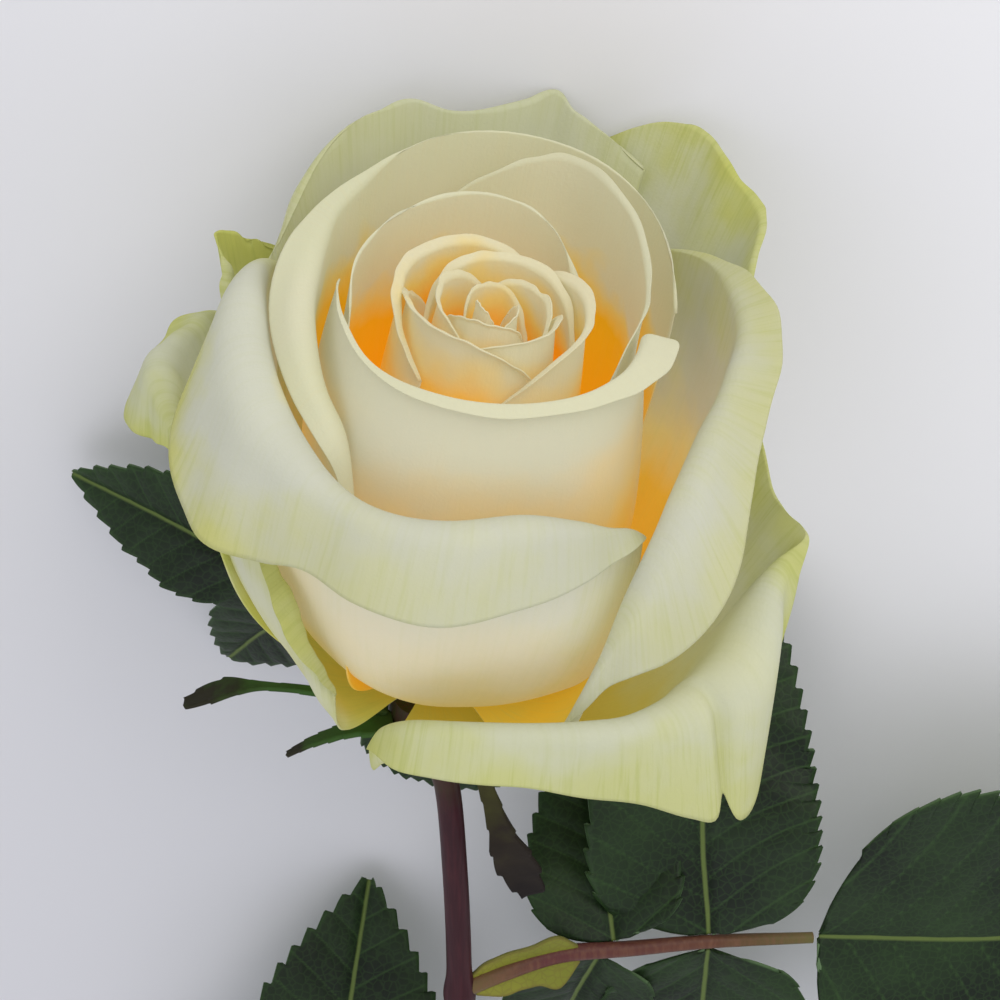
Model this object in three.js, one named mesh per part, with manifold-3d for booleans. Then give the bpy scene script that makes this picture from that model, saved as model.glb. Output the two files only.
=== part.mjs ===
// A cut rose lying on a table, in millimetres with +Z up.
// The bloom faces -Y and the stem runs back to +Y, so the flower rests on the rims of the petals that
// are under it, on the tips of its leaves and on the cut end of its stem.
//
// The bloom is worked out standing up, in its own frame: +Z is the way it opens, +X is its right-hand
// side and -Y is the side that ends up on top. layDown() then turns it onto the table.

import * as THREE from 'three';
import { mergeVertices } from 'three/addons/utils/BufferGeometryUtils.js';
import Module from 'manifold-3d';

const wasm = await Module();
wasm.setup();

// ---------------------------------------------------------------- driving dimensions

const BASE_HEIGHT = 38.9;       // from the table up to the foot of the bloom
const STEM_SLOPE = 6.2;         // degrees that the stem falls from the bloom to its cut end
const BLOOM_LEAN = 8;           // degrees that the bloom nods sideways off the stem

const PETAL_THICKNESS = 0.45;
const LEAF_THICKNESS = 0.7;
const SEPAL_THICKNESS = 0.9;
const GAP = 0.3;                // air between two pieces that touch
const SLIVER = 0.05;            // faces finer than this are merged after a cut
const WELD = 0.002;

const HEART_PETALS = 11;
const GOLDEN_ANGLE = 137.5;     // degrees from one heart petal to the next
const HEART_RADIUS = 1.9;       // of the innermost heart petal
const HEART_STEP = 0.98;        // each heart petal stands this much further out
const ROOT_STEP = 0.8;          // each petal's root sits this much above the root of the next one out
const LOWEST_ROOT = 0.9;

// ---------------------------------------------------------------- materials

const look = (color, roughness) => new THREE.MeshStandardMaterial({ color, roughness, metalness: 0 });

const PETAL_LOOKS = {
  heart: look('#f3d891', 0.6),
  bud: look('#f4ecc8', 0.6),
  outer: look('#eef0cf', 0.6),
};
const LEAF_LOOK = look('#26402c', 0.45);
const RACHIS_LOOK = look('#7a5a48', 0.5);
const STEM_LOOK = look('#5a3038', 0.5);
const SEPAL_LOOK = look('#4f6b3a', 0.6);

// ---------------------------------------------------------------- small maths

const radians = THREE.MathUtils.degToRad;

function ease(x) {
  const t = THREE.MathUtils.clamp(x, 0, 1);
  return t * t * (3 - 2 * t);
}

// A smooth curve through evenly spaced values, read at t from 0 to 1.
function through(values, t) {
  const last = values.length - 1;
  const k = Math.min(Math.floor(t * last), last - 1);
  const u = t * last - k;
  const slope = (i) => {
    const before = Math.max(i - 1, 0);
    const after = Math.min(i + 1, last);
    return (values[after] - values[before]) / (after - before);
  };
  return (1 + 2 * u) * (1 - u) ** 2 * values[k]
    + u * (1 - u) ** 2 * slope(k)
    + u * u * (3 - 2 * u) * values[k + 1]
    + u * u * (u - 1) * slope(k + 1);
}

const point = (x, y, z) => new THREE.Vector3(x, y, z);

// ---------------------------------------------------------------- the two frames

const nod = new THREE.Matrix4().makeRotationY(radians(BLOOM_LEAN));
const fall = radians(STEM_SLOPE);
const lay = new THREE.Matrix4().makeBasis(
  point(-1, 0, 0),
  point(0, -Math.sin(fall), -Math.cos(fall)),
  point(0, -Math.cos(fall), Math.sin(fall)),
).setPosition(0, 0, BASE_HEIGHT);

const layDown = (p) => p.clone().applyMatrix4(lay);             // from beside the standing stem
const layBloom = (p) => layDown(p.clone().applyMatrix4(nod));   // from the nodding bloom's own frame

// ---------------------------------------------------------------- solids

// A closed solid around a grid of points (rows of equal length), half its thickness on either side.
function thickSheet(rows, thickness) {
  const count = rows.length;
  const width = rows[0].length;
  const at = (i, j) => rows[THREE.MathUtils.clamp(i, 0, count - 1)][THREE.MathUtils.clamp(j, 0, width - 1)];
  const faces = [[], []];
  for (let i = 0; i < count; i++) {
    for (let j = 0; j < width; j++) {
      const across = at(i, j + 1).clone().sub(at(i, j - 1));
      const along = at(i + 1, j).clone().sub(at(i - 1, j));
      const normal = across.cross(along).normalize();
      faces[0].push(at(i, j).clone().addScaledVector(normal, thickness / 2));
      faces[1].push(at(i, j).clone().addScaledVector(normal, -thickness / 2));
    }
  }
  const under = count * width;
  const index = [];
  const quad = (a, b, c, d) => index.push(a, b, c, a, c, d);
  for (let i = 0; i < count - 1; i++) {
    for (let j = 0; j < width - 1; j++) {
      const a = i * width + j;
      quad(a, a + 1, a + width + 1, a + width);
      quad(under + a + width, under + a + width + 1, under + a + 1, under + a);
    }
  }
  const rim = [];
  for (let j = 0; j < width; j++) rim.push(j);
  for (let i = 1; i < count; i++) rim.push(i * width + width - 1);
  for (let j = width - 2; j >= 0; j--) rim.push((count - 1) * width + j);
  for (let i = count - 2; i > 0; i--) rim.push(i * width);
  rim.forEach((a, k) => {
    const b = rim[(k + 1) % rim.length];
    quad(b, a, under + a, under + b);
  });
  return solid([...faces[0], ...faces[1]], index);
}

// A round bar along a smooth path. radius(t) gives its size from the first point to the last.
function bar(path, radius, sides, steps) {
  const curve = new THREE.CatmullRomCurve3(path);
  const frames = curve.computeFrenetFrames(steps, false);
  const points = [];
  for (let i = 0; i <= steps; i++) {
    const centre = curve.getPointAt(i / steps);
    const size = radius(i / steps);
    for (let j = 0; j < sides; j++) {
      const turn = (j / sides) * 2 * Math.PI;
      points.push(centre.clone()
        .addScaledVector(frames.normals[i], size * Math.cos(turn))
        .addScaledVector(frames.binormals[i], size * Math.sin(turn)));
    }
  }
  const index = [];
  for (let i = 0; i < steps; i++) {
    for (let j = 0; j < sides; j++) {
      const a = i * sides + j;
      const b = i * sides + (j + 1) % sides;
      index.push(a, b, b + sides, a, b + sides, a + sides);
    }
  }
  const start = points.push(curve.getPointAt(0)) - 1;
  const end = points.push(curve.getPointAt(1)) - 1;
  for (let j = 0; j < sides; j++) {
    const next = (j + 1) % sides;
    index.push(start, next, j);
    index.push(end, steps * sides + j, steps * sides + next);
  }
  return solid(points, index);
}

function solid(points, index) {
  const vertProperties = new Float32Array(points.flatMap((p) => [p.x, p.y, p.z]));
  return new wasm.Manifold(new wasm.Mesh({ numProp: 3, vertProperties, triVerts: new Uint32Array(index) }));
}

// ---------------------------------------------------------------- the assembly

const rose = new THREE.Group();
const keepOut = [];     // a slightly fatter copy of every piece made so far

// Adds a piece after cutting it clear of the pieces before it. Only its largest part is kept.
function add(name, material, body, fatBody) {
  let clear = body;
  for (const other of keepOut) clear = clear.subtract(other);
  const parts = clear.simplify(SLIVER).decompose().sort((a, b) => b.volume() - a.volume());
  keepOut.push(fatBody);
  const mesh = new THREE.Mesh(cleanGeometry(parts[0].getMesh()), material);
  mesh.name = name;
  rose.add(mesh);
}

function addSheet(name, material, rows, thickness) {
  const layers = [2, 0.5, 0.1].map((share) => thickSheet(rows, thickness + share * GAP));
  add(name, material, thickSheet(rows, thickness), layers[0].add(layers[1]).add(layers[2]));
}

// Joins vertices that a cut left closer than WELD, and drops the faces that this closes up.
function cleanGeometry(cut) {
  const raw = new THREE.BufferGeometry();
  raw.setAttribute('position', new THREE.BufferAttribute(new Float32Array(cut.vertProperties), 3));
  raw.setIndex(new THREE.BufferAttribute(new Uint32Array(cut.triVerts), 1));
  const welded = mergeVertices(raw, WELD);
  const index = [];
  for (let i = 0; i < welded.index.count; i += 3) {
    const [a, b, c] = [0, 1, 2].map((k) => welded.index.getX(i + k));
    if (a !== b && b !== c && c !== a) index.push(a, b, c);
  }
  welded.setIndex(index);
  welded.computeVertexNormals();
  return welded;
}

// ---------------------------------------------------------------- stem

const STEM_POINTS = [
  [0, 0, -0.6], [0.1, 0, -5], [0.8, 0, -10], [2.0, 0, -16], [2.9, 0, -30], [3.4, 0, -50],
  [3.0, 0, -100], [0.5, 0, -165], [-2.0, 0, -235], [-1.0, 0, -331],
].map(([x, y, z]) => layDown(point(x, y, z)));

const STEM_LENGTH = new THREE.CatmullRomCurve3(STEM_POINTS).getLength();
const HIP_PROFILE = [4.6, 5.4, 5.0, 3.4, 2.0, 1.65];    // radii down the swelling under the bloom
const HIP_LENGTH = 15;
const NECK_RADIUS = 1.65;
const CUT_RADIUS = 2.8;

function stemRadius(t) {
  const down = t * STEM_LENGTH;
  if (down < HIP_LENGTH) return through(HIP_PROFILE, down / HIP_LENGTH);
  return THREE.MathUtils.lerp(NECK_RADIUS, CUT_RADIUS, ease((down - HIP_LENGTH) / (STEM_LENGTH - HIP_LENGTH)));
}

// A prickle is a short curved cone that points back down the stem.
const PRICKLES = [
  { down: 128, turn: 40 }, { down: 171, turn: 200 }, { down: 196, turn: 320 }, { down: 229, turn: 120 },
  { down: 262, turn: 20 }, { down: 288, turn: 235 },
];
const PRICKLE_LENGTH = 5;
const PRICKLE_FOOT = 1.7;

function prickle({ down, turn }) {
  const curve = new THREE.CatmullRomCurve3(STEM_POINTS);
  const foot = curve.getPointAt(down / STEM_LENGTH);
  const along = curve.getTangentAt(down / STEM_LENGTH);
  const out = point(0, 0, 1).cross(along).normalize().applyAxisAngle(along, radians(turn));
  const from = foot.clone().addScaledVector(out, 1);
  const middle = foot.clone().addScaledVector(out, 1 + PRICKLE_LENGTH * 0.5);
  const tip = foot.clone().addScaledVector(out, 1 + PRICKLE_LENGTH).addScaledVector(along, PRICKLE_LENGTH * 0.4);
  return bar([from, middle, tip], (t) => PRICKLE_FOOT * (1 - t) ** 1.3 + 0.12, 6, 4);
}

function stemBody(extra) {
  const main = bar(STEM_POINTS, (t) => stemRadius(t) + extra, 8, 44);
  return PRICKLES.reduce((body, spot) => body.add(prickle(spot)), main);
}

add('stem', STEM_LOOK, stemBody(0), stemBody(GAP));

// ---------------------------------------------------------------- petals

// A petal is a sheet that rises from the foot of the bloom to a rim. Its rim is a list of stations, in
// the order of their direction, each one
//   [direction in degrees, radius, height, length of the rolled lip, angle of the lip's end from straight up].
// The lip turns over within the share roll of its length, and belly may vary along the rim.
// Direction 0 is the bloom's right, 90 is underneath, 180 is its left and 270 or -90 is on top.
function petalRows(petal, columns, bodyRows, lipRows) {
  const { stations, root, low, belly, flare, neck, round = 0.12, roll = 0.75 } = petal;
  const read = (k, q) => through(stations.map((s) => s[k] ?? (k === 4 ? 90 : 0)), q);
  const lift = Math.atan2(flare, neck);
  const hasLip = stations.some((s) => (s[3] ?? 0) > 0.6);
  const rows = Array.from({ length: bodyRows + 1 + (hasLip ? lipRows : 0) }, () => []);
  for (let j = 0; j < columns; j++) {
    const even = j / (columns - 1);
    const q = 0.175 * (1 - Math.cos(Math.PI * even)) + 0.65 * even;
    const side = Math.abs(2 * q - 1) ** 5;
    const direction = radians(read(0, q));
    const place = (r, z) => layBloom(point(r * Math.cos(direction), r * Math.sin(direction), z));
    const rim = read(1, q);
    const top = read(2, q) * (1 - round * side);
    const lip = Math.max(read(3, q), 0) * (1 - 0.5 * side);
    const bulge = Array.isArray(belly) ? through(belly, q) : belly;
    const profile = new THREE.CubicBezierCurve(
      new THREE.Vector2(root, low),
      new THREE.Vector2(bulge, low + 0.02 * top),
      new THREE.Vector2(rim - flare, top - neck),
      new THREE.Vector2(rim, top),
    );
    for (let i = 0; i <= bodyRows; i++) {
      const spot = profile.getPoint(i / bodyRows);
      rows[i].push(place(spot.x, spot.y));
    }
    if (!hasLip) continue;
    const turn = radians(read(4, q)) - lift;
    let r = rim;
    let z = top;
    for (let i = 0; i < lipRows; i++) {
      const angle = lift + turn * ease((i + 0.5) / lipRows / roll);
      r += Math.sin(angle) * lip / lipRows;
      z += Math.cos(angle) * lip / lipRows;
      rows[bodyRows + 1 + i].push(place(r, z));
    }
  }
  return rows;
}

// The heart is a spiral of plain petals that stand close round one another.
function heartPetal(k) {
  const middle = 200 + GOLDEN_ANGLE * k;
  const radius = HEART_RADIUS + HEART_STEP * k;
  const half = 100 - 1.2 * k;
  const height = 59.6 + 0.05 * k;
  return {
    name: `petal_heart_${String(k + 1).padStart(2, '0')}`,
    look: 'heart',
    stations: [[-1, 6], [-0.5, 1], [0, 0], [0.5, 0.8], [1, 5]].map(([side, drop]) => (
      [middle + side * half, radius - 0.01 * side * half, height - drop]
    )),
    root: 0.8 + 0.14 * k,
    belly: radius + 4,
    flare: -1.6,
    neck: 20,
    round: 0.04,
    columns: 8,
  };
}

const PETALS = [
  ...Array.from({ length: HEART_PETALS }, (_, k) => heartPetal(k)),
  {
    name: 'petal_bud_back', look: 'bud', root: 2.5, belly: 17.5, flare: -1, neck: 20,
    stations: [
      [48, 16.5, 59], [70, 18.8, 61], [95, 20.2, 61.8], [125, 18.8, 61.6], [150, 17.7, 61], [178, 17.2, 61],
      [200, 17, 58],
    ],
  },
  {
    name: 'petal_bud_right', look: 'bud', root: 2.7, belly: 19, flare: 1, neck: 20,
    stations: [
      [-42, 15.4, 58], [-12, 16, 59.5], [14, 18.4, 59.5, 1, 50], [35, 21.8, 60, 1.5, 60],
      [57, 26.8, 61.6, 1.2, 50], [73, 30, 62, 1, 30], [88, 28, 61.6, 0.8, 30], [112, 24, 60.5, 0.4, 20],
    ],
  },
  {
    name: 'petal_bud_front', look: 'bud', root: 2.9, belly: 19.2, flare: -1.8, neck: 22,
    round: 0.03, roll: 0.5,
    stations: [
      [172, 18.6, 61, 0.5, 60], [200, 19, 60.5, 0.8, 80], [228, 20.2, 59.6, 1.2, 110],
      [252, 19.8, 59.4, 1.8, 120], [280, 19.3, 59.5, 2.2, 120], [305, 19, 59.8, 3, 115],
      [322, 18.6, 59.9, 4.4, 108], [336, 18, 59.8, 6.2, 102], [348, 17.6, 59.6, 6.6, 96],
      [360, 17.8, 59, 3.5, 85],
    ],
  },
  {
    name: 'petal_cup_left', look: 'bud', root: 3.1, flare: 1, neck: 20,
    belly: [22.4, 22.4, 22.4, 21.8, 20.6],
    stations: [
      [32, 27.4, 58.4], [54, 32.5, 61], [78, 35, 61.7], [103, 32.5, 61.8], [128, 26, 60.6, 2, 60],
      [150, 22.4, 60.5, 4, 80], [168, 21, 59.6, 6, 100], [190, 21.3, 57, 8, 145], [210, 22, 53, 6, 145],
      [226, 22.2, 48.5, 4, 142], [234, 22, 36, 0.5, 120],
    ],
  },
  {
    name: 'petal_fold_front', look: 'outer', root: 3.4, flare: -1, neck: 16,
    belly: [24.5, 24.4, 22.2, 23, 24.5],
    roll: 0.5, columns: 13,
    stations: [
      [140, 28, 54, 0.3, 100], [154, 27.9, 56.2, 5, 130], [168, 27.5, 56.4, 14, 172],
      [182, 26.8, 54.6, 22, 168], [194, 26.3, 51.3, 26, 162], [204, 26.1, 48.9, 29, 168],
      [213, 26, 46.9, 27, 170], [222, 25.9, 45.6, 22, 175], [232, 25.8, 44.4, 16.5, 168],
      [246, 26, 44, 16, 160], [262, 25.6, 44.5, 17, 160], [280, 24.6, 46, 15.5, 160],
      [296, 24.6, 46, 11.5, 158], [311, 24.8, 45.4, 6, 152], [324, 25.2, 45, 0.5, 110],
    ],
  },
  {
    name: 'petal_fold_right', look: 'outer', root: 3.6, belly: 27, flare: 1, neck: 16,
    roll: 0.5, columns: 12,
    stations: [
      [-62, 29.4, 20, 0.5, 160], [-58, 29.1, 24.5, 5, 165], [-53, 28.5, 30.5, 10, 168],
      [-47, 27.9, 36.5, 16, 158], [-41, 27.5, 41.5, 17.5, 144], [-34, 27.1, 46, 16, 137],
      [-26, 27, 49, 11, 125], [-15, 27.3, 52, 8, 101], [-2, 28.4, 54.4, 7.2, 88], [12, 30.2, 55.8, 6, 72],
      [27, 32.2, 56.5, 3.6, 64], [42, 34.2, 57, 1.2, 60], [58, 35.5, 56],
    ],
  },
  {
    name: 'petal_back', look: 'outer', root: 3.8, belly: 28.5, flare: 8, neck: 18,
    round: 0.04, columns: 11,
    stations: [
      [64, 44.5, 57.5], [71, 44.8, 58.6], [77, 45.4, 59.5], [81, 46.8, 60.7], [85, 44.4, 59.8],
      [91, 42.3, 59.1], [98, 41.8, 59], [104, 42.8, 59.9], [109, 42, 59.5], [114, 41.4, 59],
      [121, 39, 58.2], [131, 35, 56.8], [142, 31.8, 54.5], [151, 31, 52],
    ],
  },
  {
    name: 'petal_back_right', look: 'outer', root: 3.9, belly: 30.5, flare: 10, neck: 18,
    stations: [
      [22, 33.5, 53], [31, 37.5, 56], [38, 42, 57.6, 1, 90], [43, 44, 58, 1.5, 90], [50, 45.4, 59, 1.5, 80],
      [57, 48.6, 60, 0.8, 90], [63, 49.2, 60], [70, 47.5, 58.6], [80, 46, 56],
    ],
  },
  {
    name: 'petal_low_left', look: 'outer', root: 4, flare: 2, neck: 9,
    belly: [25, 24.5, 24, 23, 20], roll: 0.5,
    stations: [
      [178, 29.5, 30], [190, 29, 31.5], [200, 28.2, 32, 1, 120], [208, 27, 31, 2, 120],
      [215, 26.2, 29, 3, 120], [221, 26, 26.5, 3.5, 120], [226, 26, 23.5, 3.5, 115],
      [230, 25.2, 20, 2.5, 110], [234, 22, 14.5, 0.6, 100],
    ],
  },
  {
    name: 'petal_low_front', look: 'outer', root: 4.2, flare: 4, neck: 8,
    belly: [24.5, 27.5, 29.5, 29.5, 29.5, 29.5, 29.5, 29.5], roll: 0.5, columns: 17,
    stations: [
      [-109, 26.4, 13, 1.5, 140], [-106, 27.2, 16.5, 6, 160], [-100, 28.4, 19, 9.5, 165],
      [-92, 29.2, 20.3, 10.2, 163], [-82, 29.8, 20.9, 10.5, 160], [-72, 30.6, 21, 11.3, 165], [-61, 32, 21, 14, 170],
      [-53, 33.3, 21, 15.6, 166], [-47, 34.4, 22, 20, 164], [-44, 35, 23, 22.5, 163],
      [-41.5, 35.3, 24, 19.5, 163], [-39.5, 35.8, 25, 27, 171], [-35, 36.5, 28, 28.5, 176],
      [-30, 37.3, 32.5, 20, 176], [-26, 38.2, 35.5, 11, 170], [-23, 39.7, 38.8, 4, 140],
      [-20, 41.8, 42.3, 0.5, 90], [-15, 38.5, 42.4], [-9, 36.4, 42.4], [-2, 34.6, 46], [5, 33.3, 49],
      [14, 33, 47],
    ],
  },
  {
    name: 'petal_wing_left_back', look: 'outer', root: 4.5, belly: 30, flare: 9, neck: 18,
    stations: [
      [124, 37, 43.5], [131, 36.5, 45.5], [137, 39.4, 46.6], [143, 41.4, 48.2], [149, 37, 48.3],
      [155, 33.2, 46.4],
    ],
  },
  {
    name: 'petal_wing_left', look: 'outer', root: 4.6, belly: 28.5, flare: 8, neck: 14,
    roll: 0.5,
    stations: [
      [141, 34.5, 41, 0.5, 90], [149, 36, 41, 2.5, 110], [157, 36, 41, 6, 135], [164, 36, 41, 12, 160],
      [170, 36, 40.5, 16, 170], [175, 35.5, 40, 13, 185], [180, 34.5, 38, 6, 185],
    ],
  },
];

PETALS.forEach((petal, k) => {
  const low = LOWEST_ROOT + ROOT_STEP * (PETALS.length - 1 - k);
  const rows = petalRows({ ...petal, low }, petal.columns ?? 9, 4, 3);
  addSheet(petal.name, PETAL_LOOKS[petal.look], rows, PETAL_THICKNESS);
});

// ---------------------------------------------------------------- blades: sepals and leaflets

// A pointed blade along a smooth spine. outline lists its half widths from foot to tip, and fold is the
// angle in degrees by which both halves rise from the midrib.
function bladeRows(spine, outline, fold, columns, count, up, swell = 1) {
  const curve = new THREE.CatmullRomCurve3(spine);
  const rows = [];
  for (let i = 0; i < count; i++) {
    const t = i / (count - 1);
    const centre = curve.getPointAt(t);
    const side = curve.getTangentAt(t).cross(up).normalize();
    const rise = side.clone().cross(curve.getTangentAt(t)).normalize();
    const half = Math.max(through(outline, t ** swell), 0.35);
    const row = [];
    for (let j = 0; j < columns; j++) {
      const s = (2 * j) / (columns - 1) - 1;
      row.push(centre.clone()
        .addScaledVector(side, s * half * Math.cos(radians(fold)))
        .addScaledVector(rise, Math.abs(s) * half * Math.sin(radians(fold))));
    }
    rows.push(row);
  }
  return rows;
}

const SEPALS = [
  { name: 'sepal_left', spine: [[-5.6, 0, -2.5], [-15, -1, 0.8], [-24, 0, 0.5], [-31, 0.5, -2.6]], outline: [2, 1, 0.7, 0.7, 1.7, 0.9] },
  { name: 'sepal_left_front', spine: [[-4.6, -3.2, -3], [-10, -4, -3.2], [-14.5, -4, -5], [-18, -3.5, -7.6]], outline: [2, 1.3, 0.9, 0.5] },
  { name: 'sepal_withered', spine: [[4.6, -2.6, -4], [7, -3.6, -13], [9.5, -4.4, -22], [13, -2, -33]], outline: [1.8, 1, 1.4, 2.4, 1.4] },
  { name: 'sepal_right', spine: [[4.6, 3.4, -3.4], [12, 6, -5], [20, 8, -8], [27, 9, -12]], outline: [2.2, 1.8, 1.2, 0.5] },
  { name: 'sepal_under', spine: [[-1, 5.6, -3.4], [-3, 12, -5], [-5, 19, -9], [-6, 24, -14]], outline: [2.2, 1.8, 1.2, 0.5] },
];
const BLOOM_AXIS = point(0, 0, 1);

for (const { name, spine, outline } of SEPALS) {
  const points = spine.map(([x, y, z]) => point(x, y, z));
  const rows = bladeRows(points, outline, 8, 3, 7, name === 'sepal_withered' ? point(0, -1, 0) : BLOOM_AXIS);
  addSheet(name, SEPAL_LOOK, rows.map((row) => row.map(layDown)), SEPAL_THICKNESS);
}

// ---------------------------------------------------------------- leaves

// Each leaf is a stalk with stipules at its foot and five leaflets. Points are on the table, measured
// from the spot under the bloom's foot; the last number is the height.
const LEAVES = [
  {
    name: 'leaf_right',
    stalk: [[-3.6, 51.9, 33.4], [-9.5, 50, 32], [-16.5, 48.8, 30], [-26.2, 49.3, 28], [-36.5, 49.7, 26], [-51, 51.3, 23]],
    stipule: 17,
    leaflets: [
      { label: 'tip', from: [-52, 51.4, 22.7], over: [-80, 55, 18], to: [-114, 60, 1.4], half: 27 },
      { label: 'upper', from: [-36.8, 48.4, 26], over: [-36, 30, 20], to: [-43, 4, 4], half: 15 },
      { label: 'lower', from: [-36.8, 51.6, 25.6], over: [-36, 70, 20], to: [-33, 92, 6], half: 13.5 },
      { label: 'foot_upper', from: [-24, 47.9, 28], over: [-22.6, 40, 22], to: [-19, 27, 8], half: 10 },
      { label: 'foot_lower', from: [-22, 50.6, 28], over: [-19, 62, 22], to: [-17, 79, 10], half: 9.5 },
    ],
  },
  {
    name: 'leaf_left',
    stalk: [[-1.2, 13.5, 35], [3, 9, 26.5], [11, 4.5, 20], [22, -2.5, 16]],
    stipule: 0,
    leaflets: [
      { label: 'tip', from: [23.2, -3.2, 15.6], over: [34, -7.6, 11.5], to: [47.5, -10.2, 3.4], half: 8 },
      { label: 'upper', from: [12.6, 2.2, 18.6], over: [15, -8, 12], to: [17, -24, 2.4], half: 8.5 },
      { label: 'lower', from: [14.4, 4.4, 18.2], over: [21, 9, 11], to: [28, 20, 2], half: 8.5 },
      { label: 'foot_upper', from: [3.6, 6.8, 25], over: [-2, -2, 17], to: [-10, -16, 6], half: 8 },
      { label: 'foot_lower', from: [4, 11, 24], over: [-1, 24, 16], to: [-9, 40, 4], half: 8 },
    ],
  },
  {
    name: 'leaf_low',
    stalk: [[-2.6, 135, 24.6], [3, 126, 23.5], [9, 113, 21], [13, 97, 18]],
    stipule: 17,
    leaflets: [
      { label: 'tip', from: [13.2, 95.6, 17.8], over: [13, 78, 15.5], to: [9.5, 57, 2.4], half: 15.5 },
      { label: 'left', from: [12.4, 107.4, 19.4], over: [27, 104, 15], to: [49, 96, 1.4], half: 13 },
      { label: 'right', from: [8.6, 107.6, 19.4], over: [-5, 104, 13], to: [-24, 106, 3], half: 9.5 },
      { label: 'foot_left', from: [6.6, 121.4, 22], over: [20, 126, 16], to: [38, 133, 3], half: 10 },
      { label: 'foot_right', from: [3, 121.4, 22], over: [-10, 126, 13], to: [-27, 134, 3], half: 9 },
    ],
  },
];
const LEAFLET_OUTLINE = [0.05, 0.7, 0.97, 1, 0.88, 0.55, 0.03];     // half widths over the widest one
const LEAFLET_SWELL = 0.6;      // below 1 draws the widest part towards the foot and rounds it
const LEAFLET_FOLD = 9;
const STALK_RADIUS = 1.1;
const STIPULE_OUTLINE = [1.6, 3, 3.2, 3.4, 4.2, 1.4];
const UP = point(0, 0, 1);

function stalkBody(leaf, extra) {
  const path = leaf.stalk.map(([x, y, z]) => point(x, y, z));
  const main = bar(path, (t) => STALK_RADIUS * (1.25 - 0.55 * t) + extra, 6, 12);
  if (leaf.stipule === 0) return main;
  const curve = new THREE.CatmullRomCurve3(path);
  const spine = [0.12, 0.5, 1].map((t) => curve.getPointAt((t * leaf.stipule) / curve.getLength()));
  return main.add(thickSheet(bladeRows(spine, STIPULE_OUTLINE, 20, 5, 6, UP), LEAF_THICKNESS + 2 * extra));
}

for (const leaf of LEAVES) add(`${leaf.name}_stalk`, RACHIS_LOOK, stalkBody(leaf, 0), stalkBody(leaf, GAP));
for (const leaf of LEAVES) {
  for (const { label, from, over, to, half } of leaf.leaflets) {
    const spine = [from, over, to].map(([x, y, z]) => point(x, y, z));
    const outline = LEAFLET_OUTLINE.map((part) => part * half);
    const rows = bladeRows(spine, outline, LEAFLET_FOLD, 5, 8, UP, LEAFLET_SWELL);
    addSheet(`${leaf.name}_${label}`, LEAF_LOOK, rows, LEAF_THICKNESS);
  }
}

// ---------------------------------------------------------------- place the flower on its origin

const box = new THREE.Box3().setFromObject(rose);
const middle = box.getCenter(point(0, 0, 0));
rose.position.set(-middle.x, -middle.y, -box.min.z);

export default rose;
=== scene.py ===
# %% [markdown]
# # A cut rose, lying down
# A cut rose is a bloom of overlapping petals on a long stem, with toothed leaves in fives. This script
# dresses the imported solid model, which already has every petal, leaf and stalk in its place, with the
# living surfaces: fine petal sheets, serrated leaves, a waxy stem. Each piece is worked out from a few
# dimensions in millimetres and then written in metres.

# %% Load the solid model
import math

import bpy
import numpy as np
from mathutils import Matrix, Vector


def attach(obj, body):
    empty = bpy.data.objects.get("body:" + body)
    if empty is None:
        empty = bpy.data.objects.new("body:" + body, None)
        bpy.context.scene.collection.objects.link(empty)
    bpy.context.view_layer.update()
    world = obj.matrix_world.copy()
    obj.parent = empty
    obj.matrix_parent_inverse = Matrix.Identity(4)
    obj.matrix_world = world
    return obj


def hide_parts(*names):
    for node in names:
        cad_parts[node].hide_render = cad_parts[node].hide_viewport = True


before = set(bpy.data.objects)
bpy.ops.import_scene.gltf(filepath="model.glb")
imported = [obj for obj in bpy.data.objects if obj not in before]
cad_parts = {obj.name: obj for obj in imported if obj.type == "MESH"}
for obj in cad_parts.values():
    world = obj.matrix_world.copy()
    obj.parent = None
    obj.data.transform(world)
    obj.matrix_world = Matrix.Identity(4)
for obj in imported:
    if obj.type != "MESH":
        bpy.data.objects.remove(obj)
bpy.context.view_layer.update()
MM = 0.001
print("solid nodes:", len(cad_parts))

# %% [markdown]
# ## Where the bloom is
# The flower is easiest to think of standing up: +Z the way the bloom opens, +X its right-hand side and
# -Y the side that ends up on top. Two turns take it to the table. The first lets the bloom nod to its
# right, and the second lays the whole flower down with a slight slope. What is left is a shift, and the
# cut end of the stem gives it, because both models put that end at the same point of the stem's path.

# %% From the standing flower to the table
BASE_HEIGHT = 38.9
STEM_SLOPE = math.radians(6.2)
BLOOM_LEAN = math.radians(8)
STEM_PATH = np.array([
    (0, 0, -0.6), (0.1, 0, -5), (0.8, 0, -10), (2.0, 0, -16), (2.9, 0, -30), (3.4, 0, -50),
    (3.0, 0, -100), (0.5, 0, -165), (-2.0, 0, -235), (-1.0, 0, -331),
])

nod = np.array([
    (math.cos(BLOOM_LEAN), 0, math.sin(BLOOM_LEAN)),
    (0, 1, 0),
    (-math.sin(BLOOM_LEAN), 0, math.cos(BLOOM_LEAN)),
])
lay = np.array([
    (-1, 0, 0),
    (0, -math.sin(STEM_SLOPE), -math.cos(STEM_SLOPE)),
    (0, -math.cos(STEM_SLOPE), math.sin(STEM_SLOPE)),
])

stem_points = np.array([v.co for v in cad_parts["stem"].data.vertices])
cut_end = stem_points[stem_points[:, 1] > stem_points[:, 1].max() - 3 * MM].mean(axis=0)
shift = cut_end - MM * (STEM_PATH[-1] @ lay.T + (0, 0, BASE_HEIGHT))


def on_table(points):
    """Millimetres measured from the spot under the bloom's foot, to metres in the model's frame."""
    return np.asarray(points, float) * MM + shift


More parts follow.
